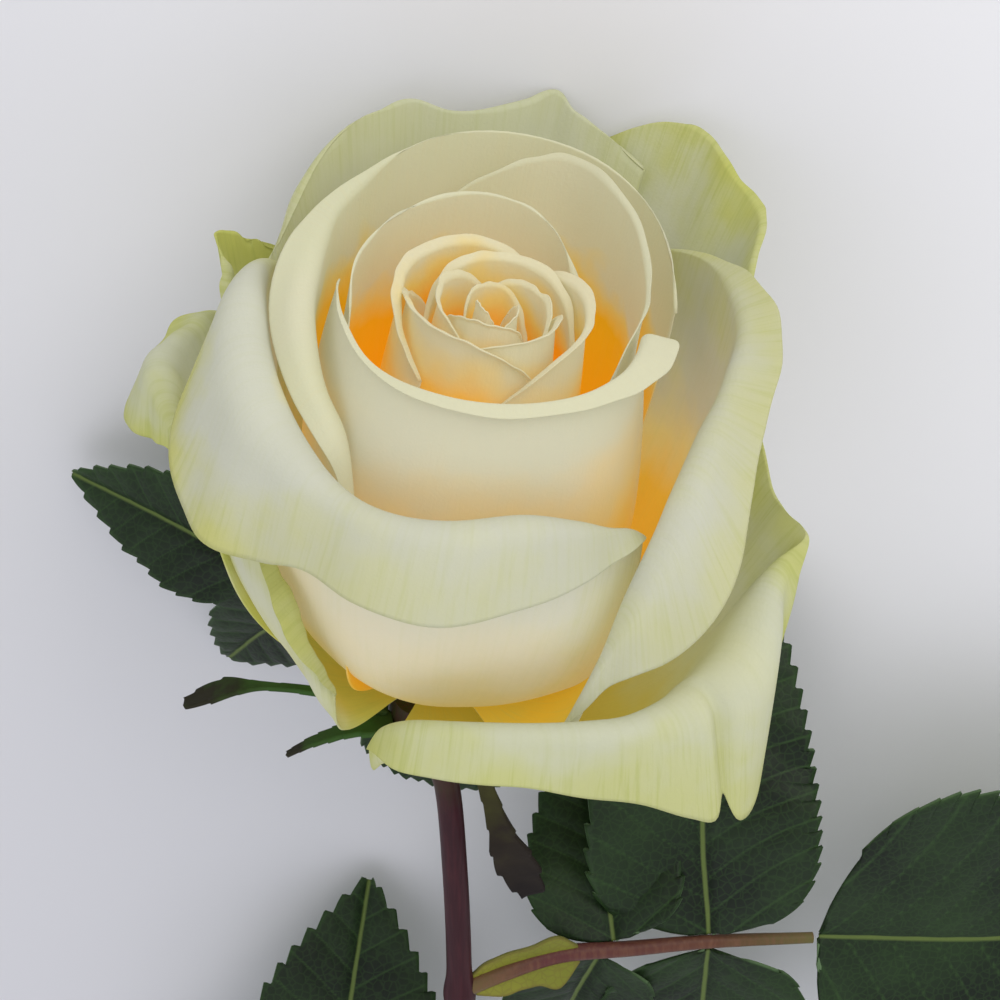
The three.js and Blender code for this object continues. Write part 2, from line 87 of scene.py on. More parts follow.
def lay_down(points):
    """Millimetres beside the standing stem, to metres in the model's frame."""
    return on_table(np.asarray(points, float) @ lay.T + (0, 0, BASE_HEIGHT))


def lay_bloom(points):
    """Millimetres in the bloom's own nodding frame, to metres in the model's frame."""
    return lay_down(np.asarray(points, float) @ nod.T)


print("bloom's foot at", np.round(lay_down((0, 0, 0)), 4))

# %% [markdown]
# ## Camera
# A rose is looked at a little from above its rim, so the spiral shows. The camera's direction is set
# in the standing flower's frame, 38 degrees over the plane of the rim, and laid down with it. A lens
# about half a metre away gives the close, slightly swelling look of a portrait of a flower.

# %% Set the camera
LOOK_DOWN = math.radians(38)
DISTANCE = 520
MM_ACROSS = 120             # what the view spans at the middle of the bloom
BLOOM_DEPTH = 25            # that middle is this much nearer than the foot
FOOT_LEFT = 8.8             # the foot is this far left of the view's centre line, and this far below
FOOT_BELOW = 23.9

back = np.array((0, -math.cos(LOOK_DOWN), math.sin(LOOK_DOWN)))
up = np.array((0, math.sin(LOOK_DOWN), math.cos(LOOK_DOWN)))
right = np.array((1, 0, 0))
aim = right * FOOT_LEFT + up * FOOT_BELOW + back * BLOOM_DEPTH

camera_data = bpy.data.cameras.new("camera")
camera = bpy.data.objects.new("camera", camera_data)
bpy.context.scene.collection.objects.link(camera)
camera_data.sensor_width = 36
camera_data.lens = 36 * DISTANCE / MM_ACROSS
camera_data.clip_start = 0.01
placing = np.eye(4)
placing[:3, :3] = lay @ np.column_stack((right, up, back))
placing[:3, 3] = lay_down(aim + back * DISTANCE)
camera.matrix_world = Matrix(placing.tolist())
bpy.context.scene.camera = camera
print("lens", round(camera_data.lens), "mm, camera at", np.round(placing[:3, 3], 3))

# %% [markdown]
# ## Floor and light
# The flower lies on a plain sheet of paper, and light is painted into its colour, so that it grows lighter
# towards the window. A wide soft panel stands off beyond the bloom as the window, so light falls into it
# along the petals, a second one hangs above, and the pale world fills the shadows as white walls would.

# %% Make the floor, the lights and the world
FLOOR_HALF = 3.0            # metres
FLOOR_DROP = 0.0003         # metres that the floor lies below the flower's lowest point
# painted light: the paper's colour grows lighter towards the window, at this rate per metre
PAINTED_LIGHT_SLOPE = (-4.2, -2.9, 0)        # how fast the paper grows lighter, per metre
WORLD_STRENGTH = 0.9
def linear(hex_colour, alpha=1.0):
    """An sRGB hex colour as the linear numbers that Blender's sockets take."""
    parts = [int(hex_colour[k:k + 2], 16) / 255 for k in (1, 3, 5)]
    return [p / 12.92 if p <= 0.04045 else ((p + 0.055) / 1.055) ** 2.4 for p in parts] + [alpha]


def add_node(tree, kind, settings=None, inputs=None, stops=()):
    """Adds one node. inputs maps a socket's name or number to a value, or to a node or output to link.

    stops are the (position, colour) pairs of a colour ramp.
    """
    made = tree.nodes.new(kind)
    for name, value in (settings or {}).items():
        setattr(made, name, value)
    for key, value in (inputs or {}).items():
        named = [s for s in made.inputs if s.enabled and s.name == key]
        socket = named[0] if named else made.inputs[key]
        if isinstance(value, bpy.types.Node):
            value = next(s for s in value.outputs if s.enabled)
        if isinstance(value, bpy.types.NodeSocket):
            tree.links.new(value, socket)
        else:
            socket.default_value = value
    for k, (position, colour) in enumerate(stops):
        elements = made.color_ramp.elements
        stop = elements[k] if k < 2 else elements.new(position)
        stop.position = position
        stop.color = linear(colour)
    return made


def new_material(name):
    """A material with an empty Principled shader: returns it, its tree and the shader."""
    material = bpy.data.materials.new(name)
    material.use_nodes = True
    tree = material.node_tree
    return material, tree, tree.nodes["Principled BSDF"]


def link_object(name, data):
    made = bpy.data.objects.new(name, data)
    bpy.context.scene.collection.objects.link(made)
    return made


floor_material, floor_tree, floor_shader = new_material("paper_with_painted_light")
# painted light: a grey-to-white ramp across the paper stands in for the window's light falling on it
floor_place = add_node(floor_tree, "ShaderNodeTexCoord").outputs["Object"]
painted_light_nearness = add_node(floor_tree, "ShaderNodeVectorMath", {"operation": "DOT_PRODUCT"},
                    {0: floor_place, 1: PAINTED_LIGHT_SLOPE}).outputs["Value"]
painted_light_share = add_node(floor_tree, "ShaderNodeMapRange", inputs={
    "Value": painted_light_nearness, "From Min": -0.4, "From Max": 1.0})
paper = add_node(floor_tree, "ShaderNodeValToRGB", inputs={"Fac": painted_light_share},
                 stops=[(0, "#ceced3"), (1, "#eeeef0")])
floor_tree.links.new(paper.outputs["Color"], floor_shader.inputs["Base Color"])
floor_shader.inputs["Roughness"].default_value = 0.9

floor_mesh = bpy.data.meshes.new("floor")
corners = [(x * FLOOR_HALF, y * FLOOR_HALF, 0) for x, y in ((-1, -1), (1, -1), (1, 1), (-1, 1))]
floor_mesh.from_pydata(corners, [], [(0, 1, 2, 3)])
floor_mesh.materials.append(floor_material)
floor = link_object("floor", floor_mesh)
floor.location.z = -FLOOR_DROP

world = bpy.data.worlds.new("white_room")
bpy.context.scene.world = world
world.use_nodes = True
world.node_tree.nodes["Background"].inputs["Color"].default_value = linear("#ebecf1")
world.node_tree.nodes["Background"].inputs["Strength"].default_value = WORLD_STRENGTH


def soft_panel(name, place, size, power, colour):
    """A square panel of light. place is in metres from the middle of the bloom, which it faces."""
    data = bpy.data.lights.new(name, "AREA")
    data.size = size
    data.energy = power
    data.color = linear(colour)[:3]
    light = link_object(name, data)
    light.location = lay_bloom((0, 0, 35)) + np.array(place)
    light.rotation_euler = Vector([-p for p in place]).to_track_quat("-Z", "Y").to_euler()
    return light


bpy.context.scene.view_settings.view_transform = "Standard"
soft_panel("window", (-0.34, -0.75, 0.6), 0.7, 3.8, "#fffaf2")
soft_panel("ceiling", (0.3, 0.35, 1.1), 0.9, 2.0, "#f4f6ff")
print("floor, world and two panels of light are set")

# %% [markdown]
# ## Sheets
# Petals, sepals and leaves are all thin living sheets. Each can be drawn as a grid of points along its
# middle, and given a thickness afterwards. The Solidify modifier would do that, but a petal thins
# towards its margin, so both faces and the rim between them are written directly. The mesh also
# carries numbers for the materials, such as how far each point is from the edge.

# %% Smooth curves and closed sheets
def ease(x):
    x = np.clip(x, 0, 1)
    return x * x * (3 - 2 * x)


def through(values, t):
    """A smooth curve through evenly spaced values, read at t from 0 to 1."""
    values = np.asarray(values, float)
    last = len(values) - 1
    slope = np.gradient(values)
    k = np.clip((np.asarray(t) * last).astype(int), 0, last - 1)
    u = np.asarray(t) * last - k
    return ((1 + 2 * u) * (1 - u) ** 2 * values[k] + u * (1 - u) ** 2 * slope[k]
            + u * u * (3 - 2 * u) * values[k + 1] + u * u * (u - 1) * slope[k + 1])


def unit(vectors):
    return vectors / (np.linalg.norm(vectors, axis=-1, keepdims=True) + 1e-12)


def running_length(points, axis):
    """Distance travelled along one axis of a grid of points."""
    steps = np.linalg.norm(np.diff(points, axis=axis), axis=-1)
    return np.concatenate((np.zeros_like(np.take(steps, [0], axis)), np.cumsum(steps, axis)), axis)


def wander(seed, t, waves):
    """A gentle irregular line: a few sine waves of seeded height and start."""
    chance = np.random.default_rng(seed)
    line = np.zeros_like(t, dtype=float)
    for k in range(1, waves + 1):
        line += chance.normal() / k ** 0.8 * np.sin(2 * np.pi * (k * t + chance.random()))
    return line / 1.6


def make_sheet(name, grid, thickness, numbers, material):
    """A closed solid around a grid of points in metres. thickness is in mm, one for each point."""
    count, width, _ = grid.shape
    normals = unit(np.cross(np.gradient(grid, axis=1), np.gradient(grid, axis=0)))
    half = (np.broadcast_to(thickness, (count, width)) * MM / 2)[..., None]
    points = np.concatenate(((grid + normals * half).reshape(-1, 3), (grid - normals * half).reshape(-1, 3)))
    cell = (np.arange(count - 1)[:, None] * width + np.arange(width - 1)).ravel()
    top = np.column_stack((cell, cell + 1, cell + width + 1, cell + width))
    under = top[:, ::-1] + count * width
    index = np.arange(count * width).reshape(count, width)
    rim = np.concatenate((index[0], index[1:, -1], index[-1, -2::-1], index[-2:0:-1, 0]))
    after = np.roll(rim, -1)
    edge = np.column_stack((after, rim, rim + count * width, after + count * width))
    mesh = bpy.data.meshes.new(name)
    mesh.from_pydata(points.tolist(), [], np.concatenate((top, under, edge)).tolist())
    mesh.shade_smooth()
    for key, values in numbers.items():
        layer = mesh.attributes.new(key, "FLOAT", "POINT")
        layer.data.foreach_set("value", np.tile(np.broadcast_to(values, (count, width)).ravel(), 2))
    side = mesh.attributes.new("underside", "FLOAT", "POINT")
    side.data.foreach_set("value", np.repeat((0.0, 1.0), count * width))
    mesh.materials.append(material)
    return link_object(name, mesh)


print("sheet helpers are ready")

# %% [markdown]
# ## Petal tissue
# A rose petal is a matt, slightly see-through skin. Its surface cells are tiny cones that scatter the
# light, so it has almost no shine but glows where it is thin. The foot is yellow and the blade cream,
# and the outermost petals, which were the green outside of the bud, keep a green blush and darker
# veins at the margin. A painted picture would do, but one gradient along the petal, a noise stretched
# into veins and a share of translucent shader do it at any size. A faint light of its own stands in for
# what soaks from petal to petal. The four tissues share one recipe.

# %% A recipe for petal tissue
VEIN_SPACING = 0.6          # mm between the veins that fan up a petal, drawn a little coarse to show
VEIN_LENGTH = 16            # mm along which one vein keeps its tone
BLUSH_DEPTH = 15            # mm that the green blush reaches in from the margin


def petal_tissue(name, outer_face, inner_face, blush_colour, vein_colour, vein_strength, glow,
                 painted_glow_range):
    """Each face lists (place, colour) from the petal's foot, 0, to its rim, 1.

    glow is the share of light let through, the last one a painted glow given out deep down and at the rim.
    """
    material, tree, shader = new_material(name)
    rise, inset, blush, across, along, inner = (
        add_node(tree, "ShaderNodeAttribute", {"attribute_name": key}).outputs["Fac"]
        for key in ("rise", "inset", "blush", "across", "along", "underside"))
    place = add_node(tree, "ShaderNodeTexCoord").outputs["Object"]

    # soft blotches move every gradient a little, so that no band is even
    blotch = add_node(tree, "ShaderNodeTexNoise", inputs={"Vector": place, "Scale": 90.0, "Detail": 3.0})
    drift = add_node(tree, "ShaderNodeMapRange", inputs={
        "Value": blotch, "From Min": 0.3, "From Max": 0.7, "To Min": -0.05, "To Max": 0.05})
    height = add_node(tree, "ShaderNodeMath", {"operation": "ADD", "use_clamp": True}, {0: rise, 1: drift})
    outside = add_node(tree, "ShaderNodeValToRGB", inputs={"Fac": height}, stops=outer_face)
    inside = add_node(tree, "ShaderNodeValToRGB", inputs={"Fac": height}, stops=inner_face)
    body = add_node(tree, "ShaderNodeMix", {"data_type": "RGBA"},
                    {"Factor": inner, "A": outside, "B": inside})

    # the veins: a noise squeezed across the petal and stretched along it
    squeezed = add_node(tree, "ShaderNodeMath", {"operation": "DIVIDE"}, {0: across, 1: VEIN_SPACING})
    stretched = add_node(tree, "ShaderNodeMath", {"operation": "DIVIDE"}, {0: along, 1: VEIN_LENGTH})
    vein_place = add_node(tree, "ShaderNodeCombineXYZ", inputs={"X": squeezed, "Y": stretched})
    veins = add_node(tree, "ShaderNodeTexNoise", inputs={
        "Vector": vein_place, "Scale": 1.0, "Detail": 3.0, "Roughness": 0.62, "Distortion": 0.5})
    lines = add_node(tree, "ShaderNodeMapRange", inputs={
        "Value": veins, "From Min": 0.48, "From Max": 0.66, "To Min": 0.0, "To Max": vein_strength})

    # the blush fades inwards from the margin in uneven patches
    patches = add_node(tree, "ShaderNodeMapRange", inputs={
        "Value": blotch, "From Min": 0.35, "From Max": 0.65, "To Min": -0.35, "To Max": 0.35})
    depth = add_node(tree, "ShaderNodeMath", {"operation": "DIVIDE"}, {0: inset, 1: BLUSH_DEPTH})
    depth = add_node(tree, "ShaderNodeMath", {"operation": "ADD"}, {0: depth, 1: patches})
    fade = add_node(tree, "ShaderNodeMapRange", {"interpolation_type": "SMOOTHSTEP"},
                    {"Value": depth, "From Min": 1.0, "From Max": -0.3, "To Min": 0.0, "To Max": 0.9})
    margin = add_node(tree, "ShaderNodeMath", {"operation": "MULTIPLY"}, {0: fade, 1: blush})
    blushed = add_node(tree, "ShaderNodeMix", {"data_type": "RGBA"},
                       {"Factor": margin, "A": body, "B": linear(blush_colour)})
    near = add_node(tree, "ShaderNodeMapRange", inputs={
        "Value": margin, "From Min": 0.0, "From Max": 0.6, "To Min": 0.15, "To Max": 1.0})
    drawn = add_node(tree, "ShaderNodeMath", {"operation": "MULTIPLY"}, {0: lines, 1: near})
    veined = add_node(tree, "ShaderNodeMix", {"data_type": "RGBA"},
                      {"Factor": drawn, "A": blushed, "B": linear(vein_colour)})
    colour = next(s for s in veined.outputs if s.enabled)

    grain = add_node(tree, "ShaderNodeTexNoise", inputs={"Vector": place, "Scale": 2600.0, "Detail": 2.0})
    skin = add_node(tree, "ShaderNodeMath", {"operation": "ADD"}, {0: veins, 1: grain})
    relief = add_node(tree, "ShaderNodeBump", inputs={"Strength": 0.3, "Distance": 0.00015, "Height": skin})
    shader.inputs["Roughness"].default_value = 0.6
    shader.inputs["Specular IOR Level"].default_value = 0.18
    tree.links.new(colour, shader.inputs["Base Color"])

    # painted glow: the petal's own light, strongest deep between petals, stands in for light soaked through
    painted_glow = add_node(tree, "ShaderNodeMapRange", {"interpolation_type": "SMOOTHSTEP"},
                      {"Value": height, "From Min": 0.55, "From Max": 1.0, "To Min": painted_glow_range[0],
                       "To Max": painted_glow_range[1]})
    tree.links.new(colour, shader.inputs["Emission Color"])
    tree.links.new(painted_glow.outputs[0], shader.inputs["Emission Strength"])
    tree.links.new(relief.outputs["Normal"], shader.inputs["Normal"])
    let_through = add_node(tree, "ShaderNodeBsdfTranslucent", inputs={"Color": colour})
    both = add_node(tree, "ShaderNodeMixShader", inputs={0: glow, 1: shader, 2: let_through})
    tree.links.new(both.outputs[0], tree.nodes["Material Output"].inputs["Surface"])
    return material


TISSUES = {
    "heart": petal_tissue("heart_petal_tissue",
                          [(0, "#efbc28"), (0.82, "#eecb5c"), (0.89, "#e5d79c"), (0.96, "#dcd9be")],
                          [(0, "#f6a406"), (0.84, "#f4b81c"), (0.92, "#ebd27c"), (0.98, "#dfd9b8")],
                          "#dedabc", "#e4ca80", 0.12, 0.3, (0.32, 0.19)),
    "bud": petal_tissue("inner_petal_tissue",
                        [(0, "#ecb810"), (0.5, "#eac650"), (0.66, "#ddcf98"), (0.82, "#d4d2ba")],
                        [(0, "#ecb010"), (0.74, "#f2c024"), (0.81, "#e8d280"), (0.86, "#dad8bc")],
                        "#d2d4b0", "#dccb92", 0.12, 0.3, (0.28, 0.18)),
    "guard": petal_tissue("guard_petal_tissue",
                          [(0, "#c8c060"), (0.25, "#d0cc80"), (0.45, "#d2d2a4"), (0.7, "#d2d3b8")],
                          [(0, "#d2b838"), (0.35, "#d6c868"), (0.55, "#d4d3a4"), (0.8, "#cdcfb6")],
                          "#c5c764", "#b3ba64", 0.45, 0.25, (0.16, 0.1)),
    "outer": petal_tissue("outer_petal_tissue",
                          [(0, "#d8c868"), (0.22, "#dacf90"), (0.4, "#d8d5ba"), (0.6, "#d2d2c2")],
                          [(0, "#e6b820"), (0.48, "#e8c64c"), (0.6, "#dfd498"), (0.72, "#cdcebd")],
                          "#cbca68", "#b9be6c", 0.4, 0.25, (0.28, 0.1)),
}
print("tissues:", ", ".join(m.name for m in TISSUES.values()))

# %% [markdown]
# ## How one petal is shaped
# A petal is a sheet that rises from the foot of the bloom like part of a bowl and ends in a lip that
# rolls outwards. Modelling it by hand with a sculpting brush would be natural, but twenty-three of them
# have to nest without touching. So each petal is a loft. Its rim is a list of stations round the
# bloom, and at every station the sheet climbs one Bezier curve from the foot to the rim and then rolls
# over by the lip's own angle.

# %% Turn a list of stations into a fine petal
BODY_ROWS = 40
LIP_ROWS = 30


def petal_grid(petal, low, columns):
    """The petal's middle sheet in the bloom's frame, in mm: rows from foot to edge, columns along its rim."""
    stations = np.array([(*s, *(0, 90)[len(s) - 3:]) for s in petal["stations"]], float)
    even = np.linspace(0, 1, columns)
    q = 0.175 * (1 - np.cos(np.pi * even)) + 0.65 * even
    side = np.abs(2 * q - 1) ** 5
    direction, rim, top, lip, lip_angle = (through(stations[:, k], q) for k in range(5))
    direction = np.radians(direction)
    seed = int(abs(stations[:, 0].sum() * 7 + stations[:, 2].sum() * 3))
    rough = petal.get("rough", 0.4)
    top = top * (1 - petal.get("round", 0.12) * side)
    lip = np.clip(lip, 0, None) * (1 - 0.5 * side)
    margin = rough * wander(seed, even, 14)
    low_r, low_z = petal["root"], low
    neck, flare = petal["neck"], petal["flare"]

    belly = through(petal["belly"], q) if isinstance(petal["belly"], tuple) else petal["belly"]
    t = np.linspace(0, 1, BODY_ROWS + 1)[:, None]
    weights = ((1 - t) ** 3, 3 * t * (1 - t) ** 2, 3 * t * t * (1 - t), t ** 3)
    r = weights[0] * low_r + weights[1] * belly + weights[2] * (rim - flare) + weights[3] * rim
    z = weights[0] * low_z + weights[1] * (low_z + 0.02 * top) + weights[2] * (top - neck) + weights[3] * top

    lift = math.atan2(flare, neck)
    turn = np.radians(lip_angle) - lift
    length = np.maximum(lip + margin, 0.15)
    for i in range(LIP_ROWS):
        angle = lift + turn * ease((i + 0.5) / LIP_ROWS / petal.get("roll", 0.75))
        r = np.vstack((r, r[-1] + np.sin(angle) * length / LIP_ROWS))
        z = np.vstack((z, z[-1] + np.cos(angle) * length / LIP_ROWS))
    flat = np.stack((r * np.cos(direction), r * np.sin(direction), z), axis=-1)
    return flat, seed


def ripple(flat, seed, size):
    """Moves a petal off its smooth shape by up to about size mm, most at the margin."""
    normals = unit(np.cross(np.gradient(flat, axis=1), np.gradient(flat, axis=0)))
    height = running_length(flat, 0)
    rise = height / height[-1]
    u = np.linspace(0, 1, flat.shape[1])
    broad = wander(seed + 1, u, 4) * rise ** 2
    fine = wander(seed + 2, 2.5 * u + 0.3 * rise, 5) * rise ** 6
    dent = wander(seed + 3, 1.3 * rise + 0.4 * u, 3) * 0.35 * rise
    return flat + normals * (size * (broad + 0.6 * fine + dent))[..., None]


def add_petal(petal, low, columns):
    flat, seed = petal_grid(petal, low, columns)
    flat = ripple(flat, seed, petal.get("ripple", 0.35))
    along = running_length(flat, 0)
    across = running_length(flat, 1)
    rise = along / along[-1]
    beside = np.minimum(across, across[:, -1:] - across)
    inset = np.minimum(along[-1] - along, beside + 2.0)
    u = np.linspace(0, 1, flat.shape[1])
    blush = np.interp(u, np.linspace(0, 1, len(petal["blush"])), petal["blush"])
    numbers = {"rise": rise, "inset": inset, "along": along, "blush": blush,
               "across": u * across[int(0.6 * len(across)), -1] + seed % 97}
    thickness = 0.34 - 0.16 * rise ** 2
    name = petal["name"].replace("petal", "rose_petal")
    sheet = make_sheet(name, lay_bloom(flat.reshape(-1, 3)).reshape(flat.shape), thickness, numbers,
                       TISSUES[petal["look"]])
    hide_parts(petal["name"])
    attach(sheet, "root")
    return sheet


print("a petal has", (BODY_ROWS + 1 + LIP_ROWS), "rows of points")

# %% [markdown]
# ## The petals
# The heart is a spiral: eleven small petals that stand close round one another, each a golden angle on
# from the last, as a real bud packs them. The petals outside it have opened, and each has its own lean
# and lip, so they are listed one by one from the inside out. Direction 0 is the bloom's right, 90 its
# back, 180 its left and 270 the front, and each station reads
# (direction, radius, height, length of the lip, angle of the lip's end from straight up).

# %% The heart's spiral
HEART_PETALS = 11
GOLDEN_ANGLE = 137.5


def heart_petal(k):
    middle = 200 + GOLDEN_ANGLE * k
    radius = 1.9 + 0.98 * k
    half = 100 - 1.2 * k
    height = 59.6 + 0.05 * k
    drops = ((-1, 6), (-0.5, 1), (0, 0), (0.5, 0.8), (1, 5))
    return {
        "name": f"petal_heart_{k + 1:02d}", "look": "heart", "slot": "petal_heart",
        "root": 0.8 + 0.14 * k, "belly": radius + 4, "flare": -1.6, "neck": 20, "round": 0.04,
        "stations": [
            (middle + side * half, radius - 0.01 * side * half, height - drop, 0.5 + 0.12 * k, 20 + 5 * k)
            for side, drop in drops],
        "ripple": 0.16, "rough": 0.3, "blush": (0.1,), "roll": 0.6,
    }


# %% The opened petals, from the inside out
OPEN_PETALS = [
    {"name": "petal_bud_back", "look": "bud", "root": 2.5, "belly": 17.5, "flare": -1, "neck": 20,
     "blush": (0.15,), "ripple": 0.25, "stations": [
         (48, 16.5, 59), (70, 18.8, 61), (95, 20.2, 61.8), (125, 18.8, 61.6), (150, 17.7, 61),
         (178, 17.2, 61), (200, 17, 58)]},
    {"name": "petal_bud_right", "look": "bud", "root": 2.7, "belly": (25, 24.5, 22, 20.5, 19.5),
     "flare": 1, "neck": 20, "blush": (0.2,), "ripple": 0.2, "stations": [
         (-42, 15.4, 58), (-12, 16, 59.5), (14, 18.4, 59.5, 1, 50), (35, 21.8, 60, 1.5, 60),
         (57, 26.8, 61.6, 1.2, 50), (73, 30, 62, 1, 30), (88, 28, 61.6, 0.8, 30), (112, 24, 60.5, 0.4, 20)]},
    {"name": "petal_bud_front", "look": "bud", "root": 2.9, "belly": (19.2, 19.2, 19.2, 20, 24, 26),
     "flare": -3.5, "neck": 22, "roll": 0.5, "round": 0.03, "blush": (0.15,), "ripple": 0.2,
     "stations": [
         (172, 18.6, 61, 0.5, 60), (200, 19, 60.5, 0.8, 80), (228, 20.2, 59.6, 1.2, 110),
         (252, 19.8, 59.4, 1.8, 120), (280, 19.3, 59.5, 2.2, 120), (305, 19, 59.8, 3, 115),
         (322, 18.6, 59.9, 4.4, 108), (336, 18, 59.8, 6.2, 102), (348, 17.6, 59.6, 6.6, 96),
         (360, 17.8, 59, 3.5, 85)]},
    {"name": "petal_cup_left", "look": "bud", "root": 3.1, "belly": (22.4, 22.4, 22.4, 21.8, 20.6),
     "flare": 1, "neck": 20, "blush": (0.2, 0.4, 0.6, 0.4, 0.2), "stations": [
         (32, 27.4, 58.4), (54, 32.5, 61), (78, 35, 61.7), (103, 32.5, 61.8), (128, 26, 60.6, 2, 60),
         (150, 22.4, 60.5, 4, 80), (168, 21, 59.6, 6, 100), (190, 21.3, 57, 8, 145), (210, 22, 53, 6, 145),
         (226, 22.2, 48.5, 4, 142), (234, 22, 36, 0.5, 120)]},
    {"name": "petal_fold_front", "look": "outer", "root": 3.4, "belly": (24.5, 24.4, 22.2, 23, 24.5),
     "flare": -1, "neck": 16, "roll": 0.5, "blush": (0.5, 0.7, 1.0, 0.7, 0.35, 0.3, 0.3), "ripple": 0.4,
     "columns": 121, "stations": [
         (140, 28, 54, 0.3, 100), (154, 27.9, 56.2, 5, 130), (168, 27.5, 56.4, 14, 172),
         (182, 26.8, 54.6, 22, 168), (194, 26.3, 51.3, 26, 162), (204, 26.1, 48.9, 29, 168),
         (213, 26, 46.9, 27, 170), (222, 25.9, 45.6, 22, 175), (232, 25.8, 44.4, 16.5, 168),
         (246, 26, 44, 16, 160), (262, 25.6, 44.5, 17, 160), (280, 24.6, 46, 15.5, 160),
         (296, 24.6, 46, 11.5, 158), (311, 24.8, 45.4, 6, 152), (324, 25.2, 45, 0.5, 110)]},
    {"name": "petal_fold_right", "look": "outer", "root": 3.6, "belly": 27, "flare": 1, "neck": 16,
     "roll": 0.5, "blush": (0.3, 0.4, 0.5, 0.6, 0.8), "ripple": 0.4, "columns": 101, "stations": [
         (-62, 29.4, 20, 0.5, 160), (-58, 29.1, 24.5, 5, 165), (-53, 28.5, 30.5, 10, 168),
         (-47, 27.9, 36.5, 16, 158), (-41, 27.5, 41.5, 17.5, 144), (-34, 27.1, 46, 16, 137),
         (-26, 27, 49, 11, 125), (-15, 27.3, 52, 8, 101), (-2, 28.4, 54.4, 7.2, 88), (12, 30.2, 55.8, 6, 72),
         (27, 32.2, 56.5, 3.6, 64), (42, 34.2, 57, 1.2, 60), (58, 35.5, 56)]},
    {"name": "petal_back", "look": "guard", "root": 3.8, "belly": 28.5, "flare": 8, "neck": 18,
     "round": 0.04, "blush": (0.4, 0.2, 0.3, 0.4), "columns": 101, "stations": [
         (64, 44.5, 57.5), (71, 44.8, 58.6), (77, 45.4, 59.5), (81, 46.8, 60.7), (85, 44.4, 59.8),
         (91, 42.3, 59.1), (98, 41.8, 59), (104, 42.8, 59.9), (109, 42, 59.5), (114, 41.4, 59),
         (121, 39, 58.2), (131, 35, 56.8), (142, 31.8, 54.5), (151, 31, 52)]},
    {"name": "petal_back_right", "look": "guard", "root": 3.9, "belly": 30.5, "flare": 10, "neck": 18,
     "blush": (1.0,), "ripple": 0.5, "stations": [
         (22, 33.5, 53), (31, 37.5, 56), (38, 42, 57.6, 1, 90), (43, 44, 58, 1.5, 90),
         (50, 45.4, 59, 1.5, 80), (57, 48.6, 60, 0.8, 90), (63, 49.2, 60), (70, 47.5, 58.6), (80, 46, 56)]},
    {"name": "petal_low_left", "look": "guard", "root": 4.0, "belly": (25, 24.5, 24, 23, 20), "flare": 2,
     "neck": 9, "roll": 0.5, "blush": (0.9,), "stations": [
         (178, 29.5, 30), (190, 29, 31.5), (200, 28.2, 32, 1, 120), (208, 27, 31, 2, 120),
         (215, 26.2, 29, 3, 120), (221, 26, 26.5, 3.5, 120), (226, 26, 23.5, 3.5, 115),
         (230, 25.2, 20, 2.5, 110), (234, 22, 14.5, 0.6, 100)]},
    {"name": "petal_low_front", "look": "guard", "root": 4.2,
     "belly": (24.5, 27.5, 29.5, 29.5, 29.5, 29.5, 29.5, 29.5), "flare": 4, "neck": 8, "roll": 0.5,
     "blush": (1.0, 0.7, 0.6, 0.8, 0.8, 1.0), "columns": 151, "stations": [
         (-109, 26.4, 13, 1.5, 140), (-106, 27.2, 16.5, 6, 160), (-100, 28.4, 19, 9.5, 165),
         (-92, 29.2, 20.3, 10.2, 163), (-82, 29.8, 20.9, 10.5, 160), (-72, 30.6, 21, 11.3, 165),
         (-61, 32, 21, 14, 170), (-53, 33.3, 21, 15.6, 166), (-47, 34.4, 22, 20, 164),
         (-44, 35, 23, 22.5, 163),
         (-41.5, 35.3, 24, 19.5, 163), (-39.5, 35.8, 25, 27, 171), (-35, 36.5, 28, 28.5, 176),
         (-30, 37.3, 32.5, 20, 176), (-26, 38.2, 35.5, 11, 170), (-23, 39.7, 38.8, 4, 140),
         (-20, 41.8, 42.3, 0.5, 90), (-15, 38.5, 42.4), (-9, 36.4, 42.4), (-2, 34.6, 46), (5, 33.3, 49),
         (14, 33, 47)]},
    {"name": "petal_wing_left_back", "look": "guard", "root": 4.5, "belly": 30, "flare": 9, "neck": 18,
     "blush": (1.0,), "ripple": 0.6, "stations": [
         (124, 37, 43.5), (131, 36.5, 45.5), (137, 39.4, 46.6), (143, 41.4, 48.2), (149, 37, 48.3),
         (155, 33.2, 46.4)]},
    {"name": "petal_wing_left", "look": "guard", "root": 4.6, "belly": 28.5, "flare": 8, "neck": 14,
     "roll": 0.5, "blush": (1.0,), "ripple": 0.6, "stations": [
         (141, 34.5, 41, 0.5, 90), (149, 36, 41, 2.5, 110), (157, 36, 41, 6, 135), (164, 36, 41, 12, 160),
         (170, 36, 40.5, 16, 170), (175, 35.5, 40, 13, 185), (180, 34.5, 38, 6, 185)]},
]
LOWEST_ROOT = 0.9           # mm, and each petal is rooted one step above the next one out
ROOT_STEP = 0.8

petals = [heart_petal(k) for k in range(HEART_PETALS)]
for petal in OPEN_PETALS:
    slot = "petal_inner" if petal["look"] == "bud" else "petal_outer"
    petals.append({**petal, "slot": slot})
for k, petal in enumerate(petals):
    add_petal(petal, LOWEST_ROOT + ROOT_STEP * (len(petals) - 1 - k), petal.get("columns", 81))
print(len(petals), "petals")

# %% [markdown]
# ## Stem and stalks
# The stem is a smooth waxy cane that swells into the hip under the bloom and thickens towards its cut
# end. It follows a path, so Geometry Nodes can grow it: a curve that has a radius at every point is
# swept into a tube. A Curve object with a bevel would do the same, but here the tree also notes how
# far down the stem each point is, which the bark's colour needs. The leaf stalks use the same tree.

